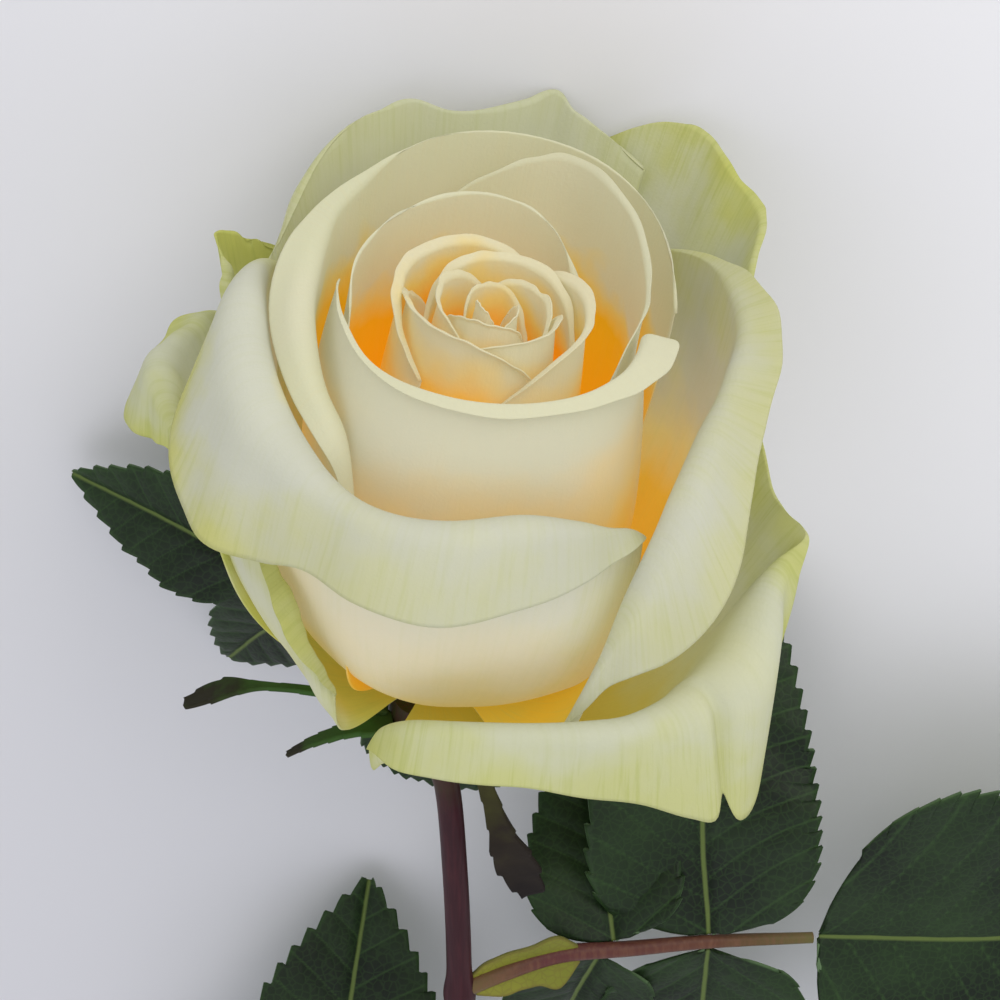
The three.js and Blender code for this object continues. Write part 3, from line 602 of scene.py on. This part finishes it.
# %% Smooth paths through a few points
def even_path(points, count):
    """count evenly spaced points on a smooth curve through the given ones."""
    points = np.asarray(points, float)
    p = np.vstack((2 * points[0] - points[1], points, 2 * points[-1] - points[-2]))
    gap = np.sqrt(np.linalg.norm(np.diff(p, axis=0), axis=1))[:, None]
    u = np.linspace(0, 1, 80)[:, None]
    pieces = []
    for k in range(len(points) - 1):
        before, here, there, after = p[k:k + 4]
        a, b, c = gap[k:k + 3]
        leave = b * ((here - before) / a - (there - before) / (a + b) + (there - here) / b)
        arrive = b * ((there - here) / b - (after - here) / (b + c) + (after - there) / c)
        pieces.append((1 + 2 * u) * (1 - u) ** 2 * here + u * (1 - u) ** 2 * leave
                      + u * u * (3 - 2 * u) * there + u * u * (u - 1) * arrive)
    fine = np.concatenate(pieces)
    length = running_length(fine, 0)
    even = np.linspace(0, length[-1], count)
    return np.column_stack([np.interp(even, length, fine[:, i]) for i in range(3)]), length[-1]


def path_curve(name, places, radii):
    """A curve object through places in metres, with a radius in metres at each."""
    data = bpy.data.curves.new(name, "CURVE")
    data.dimensions = "3D"
    line = data.splines.new("POLY")
    line.points.add(len(places) - 1)
    line.points.foreach_set("co", np.column_stack((places, np.ones(len(places)))).ravel())
    line.points.foreach_set("radius", radii)
    return link_object(name, data)


# %% Two trees: one sweeps a tube, one plants prickles
def new_tree(name, wanted):
    """A Geometry Nodes tree with named inputs: returns it and its input sockets."""
    tree = bpy.data.node_groups.new(name, "GeometryNodeTree")
    for label, kind, default in wanted:
        socket = tree.interface.new_socket(label, in_out="INPUT", socket_type="NodeSocket" + kind)
        if default is not None:
            socket.default_value = default
    tree.interface.new_socket("Geometry", in_out="OUTPUT", socket_type="NodeSocketGeometry")
    return tree, tree.nodes.new("NodeGroupInput").outputs


def end_tree(tree, result, material):
    """Every tree ends the same way: real geometry, smooth, with its material."""
    smooth = add_node(tree, "GeometryNodeSetShadeSmooth", inputs={"Geometry": result})
    real = add_node(tree, "GeometryNodeRealizeInstances", inputs={"Geometry": smooth})
    coated = add_node(tree, "GeometryNodeSetMaterial", inputs={"Geometry": real, "Material": material})
    add_node(tree, "NodeGroupOutput", inputs={"Geometry": coated})
    print(tree.name, "has", len(tree.nodes), "nodes")


def sweep(tree, curve, sides):
    """Sweeps a round section along a curve, as thick as the curve's radius."""
    section = add_node(tree, "GeometryNodeCurvePrimitiveCircle", inputs={"Resolution": sides, "Radius": 1.0})
    tube = add_node(tree, "GeometryNodeCurveToMesh", inputs={
        "Curve": curve, "Profile Curve": section, "Fill Caps": True})
    if "Scale" in tube.inputs:
        tree.links.new(add_node(tree, "GeometryNodeInputRadius").outputs[0], tube.inputs["Scale"])
    return tube


tube_tree, given = new_tree("sweep_a_stem", [("Path", "Geometry", None), ("Sides", "Int", 20),
                                             ("Bark", "Material", None)])
place = add_node(tube_tree, "GeometryNodeSplineParameter")
marked = add_node(tube_tree, "GeometryNodeStoreNamedAttribute", {"data_type": "FLOAT", "domain": "POINT"},
                  {"Geometry": given["Path"], "Name": "down", "Value": place.outputs["Length"]})
end_tree(tube_tree, sweep(tube_tree, marked, given["Sides"]), given["Bark"])

prickle_tree, given = new_tree("plant_prickles", [("Places", "Geometry", None), ("Length", "Float", 0.005),
                                                  ("Foot", "Float", 0.0017), ("Skin", "Material", None)])
reach = add_node(prickle_tree, "ShaderNodeMath", {"operation": "MULTIPLY"}, {0: given["Length"], 1: 0.4})
tip = add_node(prickle_tree, "ShaderNodeCombineXYZ", inputs={"X": given["Length"], "Z": reach})
bend = add_node(prickle_tree, "ShaderNodeMath", {"operation": "MULTIPLY"}, {0: given["Length"], 1: 0.55})
bend = add_node(prickle_tree, "ShaderNodeCombineXYZ", inputs={"X": bend})
spine = add_node(prickle_tree, "GeometryNodeCurveQuadraticBezier",
                 inputs={"Resolution": 10, "Start": (0, 0, 0), "Middle": bend, "End": tip})
climb = add_node(prickle_tree, "GeometryNodeSplineParameter")
left = add_node(prickle_tree, "ShaderNodeMath", {"operation": "SUBTRACT"},
                {0: 1.03, 1: climb.outputs["Factor"]})
taper = add_node(prickle_tree, "ShaderNodeMath", {"operation": "POWER"}, {0: left, 1: 1.6})
girth = add_node(prickle_tree, "ShaderNodeMath", {"operation": "MULTIPLY"}, {0: taper, 1: given["Foot"]})
shaped = add_node(prickle_tree, "GeometryNodeSetCurveRadius", inputs={"Curve": spine, "Radius": girth})
noted = add_node(prickle_tree, "GeometryNodeStoreNamedAttribute", {"data_type": "FLOAT", "domain": "POINT"},
                 {"Geometry": shaped, "Name": "climb", "Value": climb.outputs["Factor"]})
outward = add_node(prickle_tree, "GeometryNodeInputNamedAttribute", {"data_type": "FLOAT_VECTOR"},
                   {"Name": "out"})
downward = add_node(prickle_tree, "GeometryNodeInputNamedAttribute", {"data_type": "FLOAT_VECTOR"},
                    {"Name": "down_stem"})
turned = add_node(prickle_tree, "FunctionNodeAxesToRotation", {"primary_axis": "X", "secondary_axis": "Z"},
                  {"Primary Axis": outward, "Secondary Axis": downward})
planted = add_node(prickle_tree, "GeometryNodeInstanceOnPoints",
                   inputs={"Points": given["Places"], "Instance": sweep(prickle_tree, noted, 12),
                           "Rotation": turned})
end_tree(prickle_tree, planted, given["Skin"])


# %% Run a tree and keep its result as a plain mesh
def grow(carrier, tree, settings, name):
    """Runs a tree on a carrier object and returns a new plain mesh object."""
    modifier = carrier.modifiers.new("grow", "NODES")
    modifier.node_group = tree
    for item in tree.interface.items_tree:
        if item.in_out == "INPUT" and item.name in settings:
            modifier[item.identifier] = settings[item.name]
    evaluated = carrier.evaluated_get(bpy.context.evaluated_depsgraph_get())
    mesh = bpy.data.meshes.new_from_object(evaluated)
    mesh.name = name
    carrier.modifiers.remove(modifier)
    bpy.data.objects.remove(carrier)
    return link_object(name, mesh)


# %% [markdown]
# ## Bark
# Under the bloom the young stem is dull reddish purple, and it turns green further down, with a thin
# bloom of wax that gives a soft, broad shine. The hip itself is brown-green. Fine streaks run along it.
# A gradient on the distance down the stem and a stretched noise draw this.

# %% Materials of the stem, the stalks and the prickles
def bark_material(name, by_distance, span, streak, roughness):
    """by_distance lists (share of span, colour), with span in metres down the stem."""
    material, tree, shader = new_material(name)
    down = add_node(tree, "ShaderNodeAttribute", {"attribute_name": "down"}).outputs["Fac"]
    place = add_node(tree, "ShaderNodeTexCoord").outputs["Object"]
    mottle = add_node(tree, "ShaderNodeTexNoise", inputs={"Vector": place, "Scale": 160.0, "Detail": 4.0})
    share = add_node(tree, "ShaderNodeMath", {"operation": "DIVIDE"}, {0: down, 1: span})
    shift_by = add_node(tree, "ShaderNodeMapRange", inputs={
        "Value": mottle, "From Min": 0.3, "From Max": 0.7, "To Min": -0.02, "To Max": 0.02})
    share = add_node(tree, "ShaderNodeMath", {"operation": "ADD", "use_clamp": True}, {0: share, 1: shift_by})
    tone = add_node(tree, "ShaderNodeValToRGB", inputs={"Fac": share}, stops=by_distance)
    squeeze = add_node(tree, "ShaderNodeMapping", inputs={"Vector": place, "Scale": (1600.0, 60.0, 1600.0)})
    streaks = add_node(tree, "ShaderNodeTexNoise", inputs={"Vector": squeeze, "Scale": 1.0, "Detail": 2.0})
    amount = add_node(tree, "ShaderNodeMapRange", inputs={
        "Value": streaks, "From Min": 0.42, "From Max": 0.7, "To Min": 0.0, "To Max": 0.55})
    streaked = add_node(tree, "ShaderNodeMix", {"data_type": "RGBA"},
                        {"Factor": amount, "A": tone, "B": linear(streak)})
    relief = add_node(tree, "ShaderNodeBump", inputs={"Strength": 0.3, "Distance": 0.0002, "Height": streaks})
    colour = next(s for s in streaked.outputs if s.enabled)
    tree.links.new(colour, shader.inputs["Base Color"])
    tree.links.new(relief.outputs["Normal"], shader.inputs["Normal"])
    shader.inputs["Roughness"].default_value = roughness
    shader.inputs["Specular IOR Level"].default_value = 0.2
    shader.inputs["Subsurface Weight"].default_value = 0.05
    shader.inputs["Subsurface Radius"].default_value = (0.002, 0.001, 0.0005)
    return material


STEM_COLOURS = [(0, "#34341a"), (0.03, "#382818"), (0.06, "#33121a"), (0.4, "#3a181e"), (0.7, "#3c3020"),
                (1, "#384522")]
STALK_COLOURS = [(0, "#6b5a34"), (0.25, "#5a3030"), (0.7, "#5c3a2c"), (1, "#5f5c30")]
STEM_BARK = bark_material("waxy_rose_cane", STEM_COLOURS, 0.345, "#481e25", 0.45)
STALK_BARK = bark_material("reddish_leaf_stalk", STALK_COLOURS, 0.05, "#74503c", 0.45)
PRICKLE_SKIN, prickle_shading, prickle_shader = new_material("woody_prickle")
climb = add_node(prickle_shading, "ShaderNodeAttribute", {"attribute_name": "climb"}).outputs["Fac"]
hue = add_node(prickle_shading, "ShaderNodeValToRGB", inputs={"Fac": climb},
               stops=[(0, "#6b4a3c"), (0.5, "#8a5646"), (1, "#c9a27c")])
prickle_shading.links.new(hue.outputs["Color"], prickle_shader.inputs["Base Color"])
prickle_shader.inputs["Roughness"].default_value = 0.4

# %% Grow the stem
HIP_PROFILE = (4.6, 5.4, 5.0, 3.4, 2.0, 1.65)       # radii down the hip, in mm
HIP_LENGTH = 15
NECK_RADIUS = 1.65
CUT_RADIUS = 2.8
NODE_BULGE = 0.5            # the stem swells this much, in mm, where a leaf leaves it
STEM_NODES = (14, 52.6, 135.6)

spine, stem_length = even_path(STEM_PATH, 520)
down = np.linspace(0, stem_length, len(spine))
cane = NECK_RADIUS + (CUT_RADIUS - NECK_RADIUS) * ease((down - HIP_LENGTH) / (stem_length - HIP_LENGTH))
stem_radius = np.where(down < HIP_LENGTH, through(HIP_PROFILE, np.clip(down / HIP_LENGTH, 0, 1)), cane)
for node in STEM_NODES[1:]:
    stem_radius = stem_radius + NODE_BULGE * np.exp(-((down - node) / 2.6) ** 2)
stem = grow(path_curve("stem_path", lay_down(spine), stem_radius * MM), tube_tree,
            {"Sides": 40, "Bark": STEM_BARK}, "rose_stem")
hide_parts("stem")
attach(stem, "root")
print("stem", round(stem_length), "mm long,", len(stem.data.polygons), "faces")

# %% Plant the prickles
PRICKLES = ((128, 40), (171, 200), (196, 320), (229, 120), (262, 20), (288, 235))   # (mm down, degrees round)
places, outs, downs = [], [], []
table_spine = spine @ lay.T + (0, 0, BASE_HEIGHT)
tangents = unit(np.gradient(table_spine, axis=0))
for distance, turn in PRICKLES:
    k = int(round(distance / stem_length * (len(spine) - 1)))
    level = unit(np.cross((0, 0, 1), tangents[k]))
    out = level * math.cos(math.radians(turn)) + np.cross(tangents[k], level) * math.sin(math.radians(turn))
    places.append(on_table(table_spine[k] + out))
    outs.append(out)
    downs.append(tangents[k])
spots = bpy.data.meshes.new("prickle_places")
spots.from_pydata(places, [], [])
for key, vectors in (("out", outs), ("down_stem", downs)):
    spots.attributes.new(key, "FLOAT_VECTOR", "POINT").data.foreach_set("vector", np.ravel(vectors))
prickles = grow(link_object("prickle_places", spots), prickle_tree,
                {"Length": 0.005, "Foot": 0.0017, "Skin": PRICKLE_SKIN}, "stem_prickles")
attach(prickles, "root")
print(len(PRICKLES), "prickles,", len(prickles.data.polygons), "faces")

# %% [markdown]
# ## Blades
# A sepal, a stipule and a leaflet are each a blade on a midrib, folded a little along it. The blade is
# a grid again: rows follow the spine, columns cross it. A leaflet adds teeth along its margin and the
# quilted relief between its veins, worked out from how far along and across each point is.

# %% A blade along a spine
def blade_grid(spine, outline, fold, up, columns, count, teeth=0, tooth_depth=0, vein_gap=0, seed=0, swell=1):
    """Points in mm, and the numbers its material needs."""
    path, length = even_path(spine, count)
    tangent = unit(np.gradient(path, axis=0))
    side = unit(np.cross(tangent, up))
    rise = np.cross(side, tangent)
    t = np.linspace(0, 1, count)[:, None]
    s = np.linspace(-1, 1, columns)[None, :]
    half = np.maximum(through(outline, t[:, 0] ** swell), 0.12)[:, None]
    phase = t * teeth + 0.37 * (s > 0)
    saw = phase - np.floor(phase)
    tooth = np.where(saw < 0.82, saw / 0.82, (1 - saw) / 0.18) if teeth else 0 * saw
    near_margin = np.abs(s) ** 9
    room = np.minimum(1, half / (4 * tooth_depth + 0.01))
    x = s * half + np.sign(s) * near_margin * tooth_depth * tooth * room
    v = t * length + near_margin * tooth * tooth_depth * 0.9
    bowed = np.sqrt(x * x + 0.64) - 0.8
    lift = bowed * math.tan(math.radians(fold))
    lift = lift + 0.05 * half * wander(seed, 1.4 * t + 0.2 * s, 4) * np.abs(s) ** 2
    vein = np.ones_like(x)
    if vein_gap:
        climb = v - 0.85 * np.abs(x) + 0.012 * x * x
        vein = np.abs(np.sin(np.pi * (climb / vein_gap + 0.45 * (s > 0))))
        fade = np.minimum(1, (1 - np.abs(s)) * 4) * np.minimum(1, np.abs(x) / 1.5)
        lift = lift + 0.26 * fade * vein ** 0.7 - 0.45 * np.exp(-((x / 0.9) ** 2))
    forward = (v - t * length)[..., None]
    points = (path[:, None] + tangent[:, None] * forward + side[:, None] * x[..., None]
              + rise[:, None] * lift[..., None])
    numbers = {"rise": t, "midrib": np.abs(x), "vein": vein, "inset": half * (1 - np.abs(s))}
    return points, numbers


def wrap_up(piece, node):
    if node:
        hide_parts(node)
    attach(piece, "root")


# %% [markdown]
# ## Sepals
# The five sepals are green leathery straps with leafy or withered tips. They are green where they join
# the hip and turn brown at the ends, with short hairs that only show as a soft, matt surface.

# %% Sepal skin and the five sepals
def sepal_skin(name, from_foot_to_tip):
    material, tree, shader = new_material(name)
    share = add_node(tree, "ShaderNodeAttribute", {"attribute_name": "rise"}).outputs["Fac"]
    place = add_node(tree, "ShaderNodeTexCoord").outputs["Object"]
    down = add_node(tree, "ShaderNodeTexNoise", inputs={"Vector": place, "Scale": 260.0, "Detail": 4.0})
    drift = add_node(tree, "ShaderNodeMapRange", inputs={
        "Value": down, "From Min": 0.3, "From Max": 0.7, "To Min": -0.15, "To Max": 0.15})
    share = add_node(tree, "ShaderNodeMath", {"operation": "ADD", "use_clamp": True}, {0: share, 1: drift})
    tone = add_node(tree, "ShaderNodeValToRGB", inputs={"Fac": share}, stops=from_foot_to_tip)
    relief = add_node(tree, "ShaderNodeBump", inputs={"Strength": 0.5, "Distance": 0.0004, "Height": down})
    tree.links.new(tone.outputs["Color"], shader.inputs["Base Color"])
    tree.links.new(relief.outputs["Normal"], shader.inputs["Normal"])
    shader.inputs["Roughness"].default_value = 0.7
    shader.inputs["Specular IOR Level"].default_value = 0.15
    return material


DOWNY_COLOURS = [(0, "#33471e"), (0.4, "#3a5c26"), (0.75, "#34491f"), (0.9, "#2c2a1c")]
WITHERED_COLOURS = [(0, "#4a4a22"), (0.3, "#3c3a1e"), (0.6, "#2a231b"), (1, "#1c1614")]
SEPAL_SKIN = sepal_skin("downy_sepal", DOWNY_COLOURS)
WITHERED_SKIN = sepal_skin("withered_sepal", WITHERED_COLOURS)

SEPALS = {
    "sepal_left": ([(-5.6, 0, -2.5), (-15, -1, 0.8), (-24, 0, 0.5), (-31, 0.5, -2.6)],
                   (2.0, 1.0, 0.5, 0.55, 1.7, 0.8)),
    "sepal_left_front": ([(-4.6, -3.2, -3), (-10, -4, -3.2), (-14.5, -4, -5), (-18, -3.5, -7.6)],
                         (2.0, 1.1, 0.8, 0.35)),
    "sepal_withered": ([(4.6, -2.6, -4), (7, -3.6, -13), (9.5, -4.4, -22), (13, -2, -33)],
                       (1.8, 0.9, 1.3, 2.4, 1.4)),
    "sepal_right": ([(4.6, 3.4, -3.4), (12, 6, -5), (20, 8, -8), (27, 9, -12)], (2.2, 1.8, 1.2, 0.5)),
    "sepal_under": ([(-1, 5.6, -3.4), (-3, 12, -5), (-5, 19, -9), (-6, 24, -14)], (2.2, 1.8, 1.2, 0.5)),
}
SEPAL_THICKNESS = 0.9
SEPAL_THINNING = 0.4        # mm that the tip is thinner than the foot

for k, (name, (spine_points, outline)) in enumerate(SEPALS.items()):
    upward = (0, -1, 0) if name == "sepal_withered" else (0, 0, 1)
    points, numbers = blade_grid(spine_points, outline, 8, upward, 21, 90, 7, 0.5, seed=20 + k)
    laid = lay_down(points.reshape(-1, 3)).reshape(points.shape)
    skin = WITHERED_SKIN if name == "sepal_withered" else SEPAL_SKIN
    thickness = SEPAL_THICKNESS - SEPAL_THINNING * numbers["rise"]
    sepal = make_sheet(name.replace("sepal", "rose_sepal"), laid, thickness, numbers, skin)
    wrap_up(sepal, name)
print(len(SEPALS), "sepals")

# %% [markdown]
# ## Leaves
# A rose leaf is a reddish stalk with a pair of narrow stipules at its foot and five toothed leaflets.
# The upper face is dark green with a waxy gloss, and paler veins are sunk into it, so it looks quilted;
# the underside is matt and pale. A leaf could be one painted picture on a card, but with the vein
# numbers on the mesh one shader colours every leaflet, and the relief is real geometry.

# %% Leaf and stipule skins
def leaf_skin(name, dark, light, vein_colour, rib_colour, under_colour, roughness):
    material, tree, shader = new_material(name)
    midrib, vein, underside, inset = (
        add_node(tree, "ShaderNodeAttribute", {"attribute_name": key}).outputs["Fac"]
        for key in ("midrib", "vein", "underside", "inset"))
    place = add_node(tree, "ShaderNodeTexCoord").outputs["Object"]
    cloud = add_node(tree, "ShaderNodeTexNoise", inputs={"Vector": place, "Scale": 60.0, "Detail": 5.0})
    tone = add_node(tree, "ShaderNodeValToRGB", inputs={"Fac": cloud}, stops=[(0.35, dark), (0.68, light)])
    net = add_node(tree, "ShaderNodeTexVoronoi", {"feature": "DISTANCE_TO_EDGE"},
                   {"Vector": place, "Scale": 900.0})
    to_cell_edge = net.outputs["Distance"]
    net_amount = add_node(tree, "ShaderNodeMapRange", inputs={
        "Value": to_cell_edge, "From Min": 0.0, "From Max": 0.12, "To Min": 0.3, "To Max": 0.0})
    netted = add_node(tree, "ShaderNodeMix", {"data_type": "RGBA"},
                      {"Factor": net_amount, "A": tone, "B": linear(vein_colour)})
    vein_amount = add_node(tree, "ShaderNodeMapRange", inputs={
        "Value": vein, "From Min": 0.0, "From Max": 0.22, "To Min": 0.75, "To Max": 0.0})
    veined = add_node(tree, "ShaderNodeMix", {"data_type": "RGBA"},
                      {"Factor": vein_amount, "A": netted, "B": linear(vein_colour)})
    rib_amount = add_node(tree, "ShaderNodeMapRange", inputs={
        "Value": midrib, "From Min": 0.2, "From Max": 0.5, "To Min": 0.9, "To Max": 0.0})
    ribbed = add_node(tree, "ShaderNodeMix", {"data_type": "RGBA"},
                      {"Factor": rib_amount, "A": veined, "B": linear(rib_colour)})
    edge_amount = add_node(tree, "ShaderNodeMapRange", inputs={
        "Value": inset, "From Min": 0.0, "From Max": 0.5, "To Min": 0.5, "To Max": 0.0})
    edged = add_node(tree, "ShaderNodeMix", {"data_type": "RGBA"},
                     {"Factor": edge_amount, "A": ribbed, "B": linear(vein_colour)})
    turned = add_node(tree, "ShaderNodeMath", {"operation": "MULTIPLY"}, {0: underside, 1: 0.8})
    both = add_node(tree, "ShaderNodeMix", {"data_type": "RGBA"},
                    {"Factor": turned, "A": edged, "B": linear(under_colour)})
    relief = add_node(tree, "ShaderNodeBump", inputs={
        "Strength": 0.35, "Distance": 0.0002, "Height": to_cell_edge})
    tree.links.new(next(s for s in both.outputs if s.enabled), shader.inputs["Base Color"])
    tree.links.new(relief.outputs["Normal"], shader.inputs["Normal"])
    matt = add_node(tree, "ShaderNodeMapRange", inputs={
        "Value": underside, "To Min": roughness, "To Max": 0.7})
    tree.links.new(matt.outputs[0], shader.inputs["Roughness"])
    shader.inputs["Specular IOR Level"].default_value = 0.22
    return material


LEAF_SKIN = leaf_skin("glossy_rose_leaf", "#0e1a0c", "#213519", "#2f4a22", "#5f7036", "#66805a", 0.5)
STIPULE_SKIN = leaf_skin("yellow_green_stipule", "#6d7226", "#86862e", "#66542c", "#6a4430", "#808448", 0.55)

# %% The leaves, in mm on the table from under the bloom's foot
LEAVES = {
    "leaf_right": {
        "stalk": [(-3.6, 51.9, 33.4), (-9.5, 50, 32), (-16.5, 48.8, 30), (-26.2, 49.3, 28), (-36.5, 49.7, 26),
                  (-51, 51.3, 23)],
        "stipule": 17,
        "tip": ((-52, 51.4, 22.7), (-80, 55, 18), (-114, 60, 1.4), 27),
        "upper": ((-36.8, 48.4, 26), (-36, 30, 20), (-43, 4, 4), 15),
        "lower": ((-36.8, 51.6, 25.6), (-36, 70, 20), (-33, 92, 6), 13.5),
        "foot_upper": ((-24, 47.9, 28), (-22.6, 40, 22), (-19, 27, 8), 10),
        "foot_lower": ((-22, 50.6, 28), (-19, 62, 22), (-17, 79, 10), 9.5),
    },
    "leaf_left": {
        "stalk": [(-1.2, 13.5, 35), (3, 9, 26.5), (11, 4.5, 20), (22, -2.5, 16)],
        "stipule": 0,
        "tip": ((23.2, -3.2, 15.6), (34, -7.6, 11.5), (47.5, -10.2, 3.4), 8),
        "upper": ((12.6, 2.2, 18.6), (15, -8, 12), (17, -24, 2.4), 8.5),
        "lower": ((14.4, 4.4, 18.2), (21, 9, 11), (28, 20, 2), 8.5),
        "foot_upper": ((3.6, 6.8, 25), (-2, -2, 17), (-10, -16, 6), 8),
        "foot_lower": ((4, 11, 24), (-1, 24, 16), (-9, 40, 4), 8),
    },
    "leaf_low": {
        "stalk": [(-2.6, 135, 24.6), (3, 126, 23.5), (9, 113, 21), (13, 97, 18)],
        "stipule": 17,
        "tip": ((13.2, 95.6, 17.8), (13, 78, 15.5), (9.5, 57, 2.4), 15.5),
        "left": ((12.4, 107.4, 19.4), (27, 104, 15), (49, 96, 1.4), 13),
        "right": ((8.6, 107.6, 19.4), (-5, 104, 13), (-24, 106, 3), 9.5),
        "foot_left": ((6.6, 121.4, 22), (20, 126, 16), (38, 133, 3), 10),
        "foot_right": ((3, 121.4, 22), (-10, 126, 13), (-27, 134, 3), 9),
    },
}
LEAFLET_OUTLINE = np.array((0.05, 0.7, 0.97, 1, 0.88, 0.55, 0.03))      # half widths over the widest
LEAFLET_SWELL = 0.6         # below 1 draws the widest part towards the foot and rounds it
STIPULE_OUTLINE = (1.6, 3, 3.2, 3.4, 4.2, 1.4)
TOOTH_SPACING = 2.6         # mm along the margin
STALK_RADIUS = 1.1
BLADE_THICKNESS = 0.5

# %% Build every leaf
for number, (leaf, parts) in enumerate(LEAVES.items()):
    path, stalk_length = even_path(parts["stalk"], 90)
    radii = STALK_RADIUS * (1.25 - 0.55 * np.linspace(0, 1, 90)) * MM
    stalk = grow(path_curve(leaf + "_path", on_table(path), radii), tube_tree,
                 {"Sides": 20, "Bark": STALK_BARK}, "rose_" + leaf + "_stalk")
    wrap_up(stalk, leaf + "_stalk")
    if parts["stipule"]:
        ends = [path[int(share * parts["stipule"] / stalk_length * 89)] for share in (0.12, 0.5, 1)]
        points, numbers = blade_grid(ends, STIPULE_OUTLINE, 20, (0, 0, 1), 21, 70, seed=50 + number)
        stipules = make_sheet("rose_" + leaf + "_stipules", on_table(points), BLADE_THICKNESS, numbers,
                              STIPULE_SKIN)
        wrap_up(stipules, None)
    for k, (label, part) in enumerate(parts.items()):
        if label in ("stalk", "stipule"):
            continue
        start, over, end, half = part
        length = math.dist(start, over) + math.dist(over, end)
        rows = 60 + int(length * 2.6)
        teeth = round(length / TOOTH_SPACING)
        seed = 60 + 7 * number + k
        points, numbers = blade_grid((start, over, end), LEAFLET_OUTLINE * half, 9, (0, 0, 1), 41, rows,
                                     teeth, 0.25 + 0.04 * half, 3.2 + 0.11 * half, seed, LEAFLET_SWELL)
        leaflet = make_sheet(f"rose_{leaf}_{label}", on_table(points), BLADE_THICKNESS, numbers, LEAF_SKIN)
        wrap_up(leaflet, f"{leaf}_{label}")
print(len(LEAVES), "leaves")
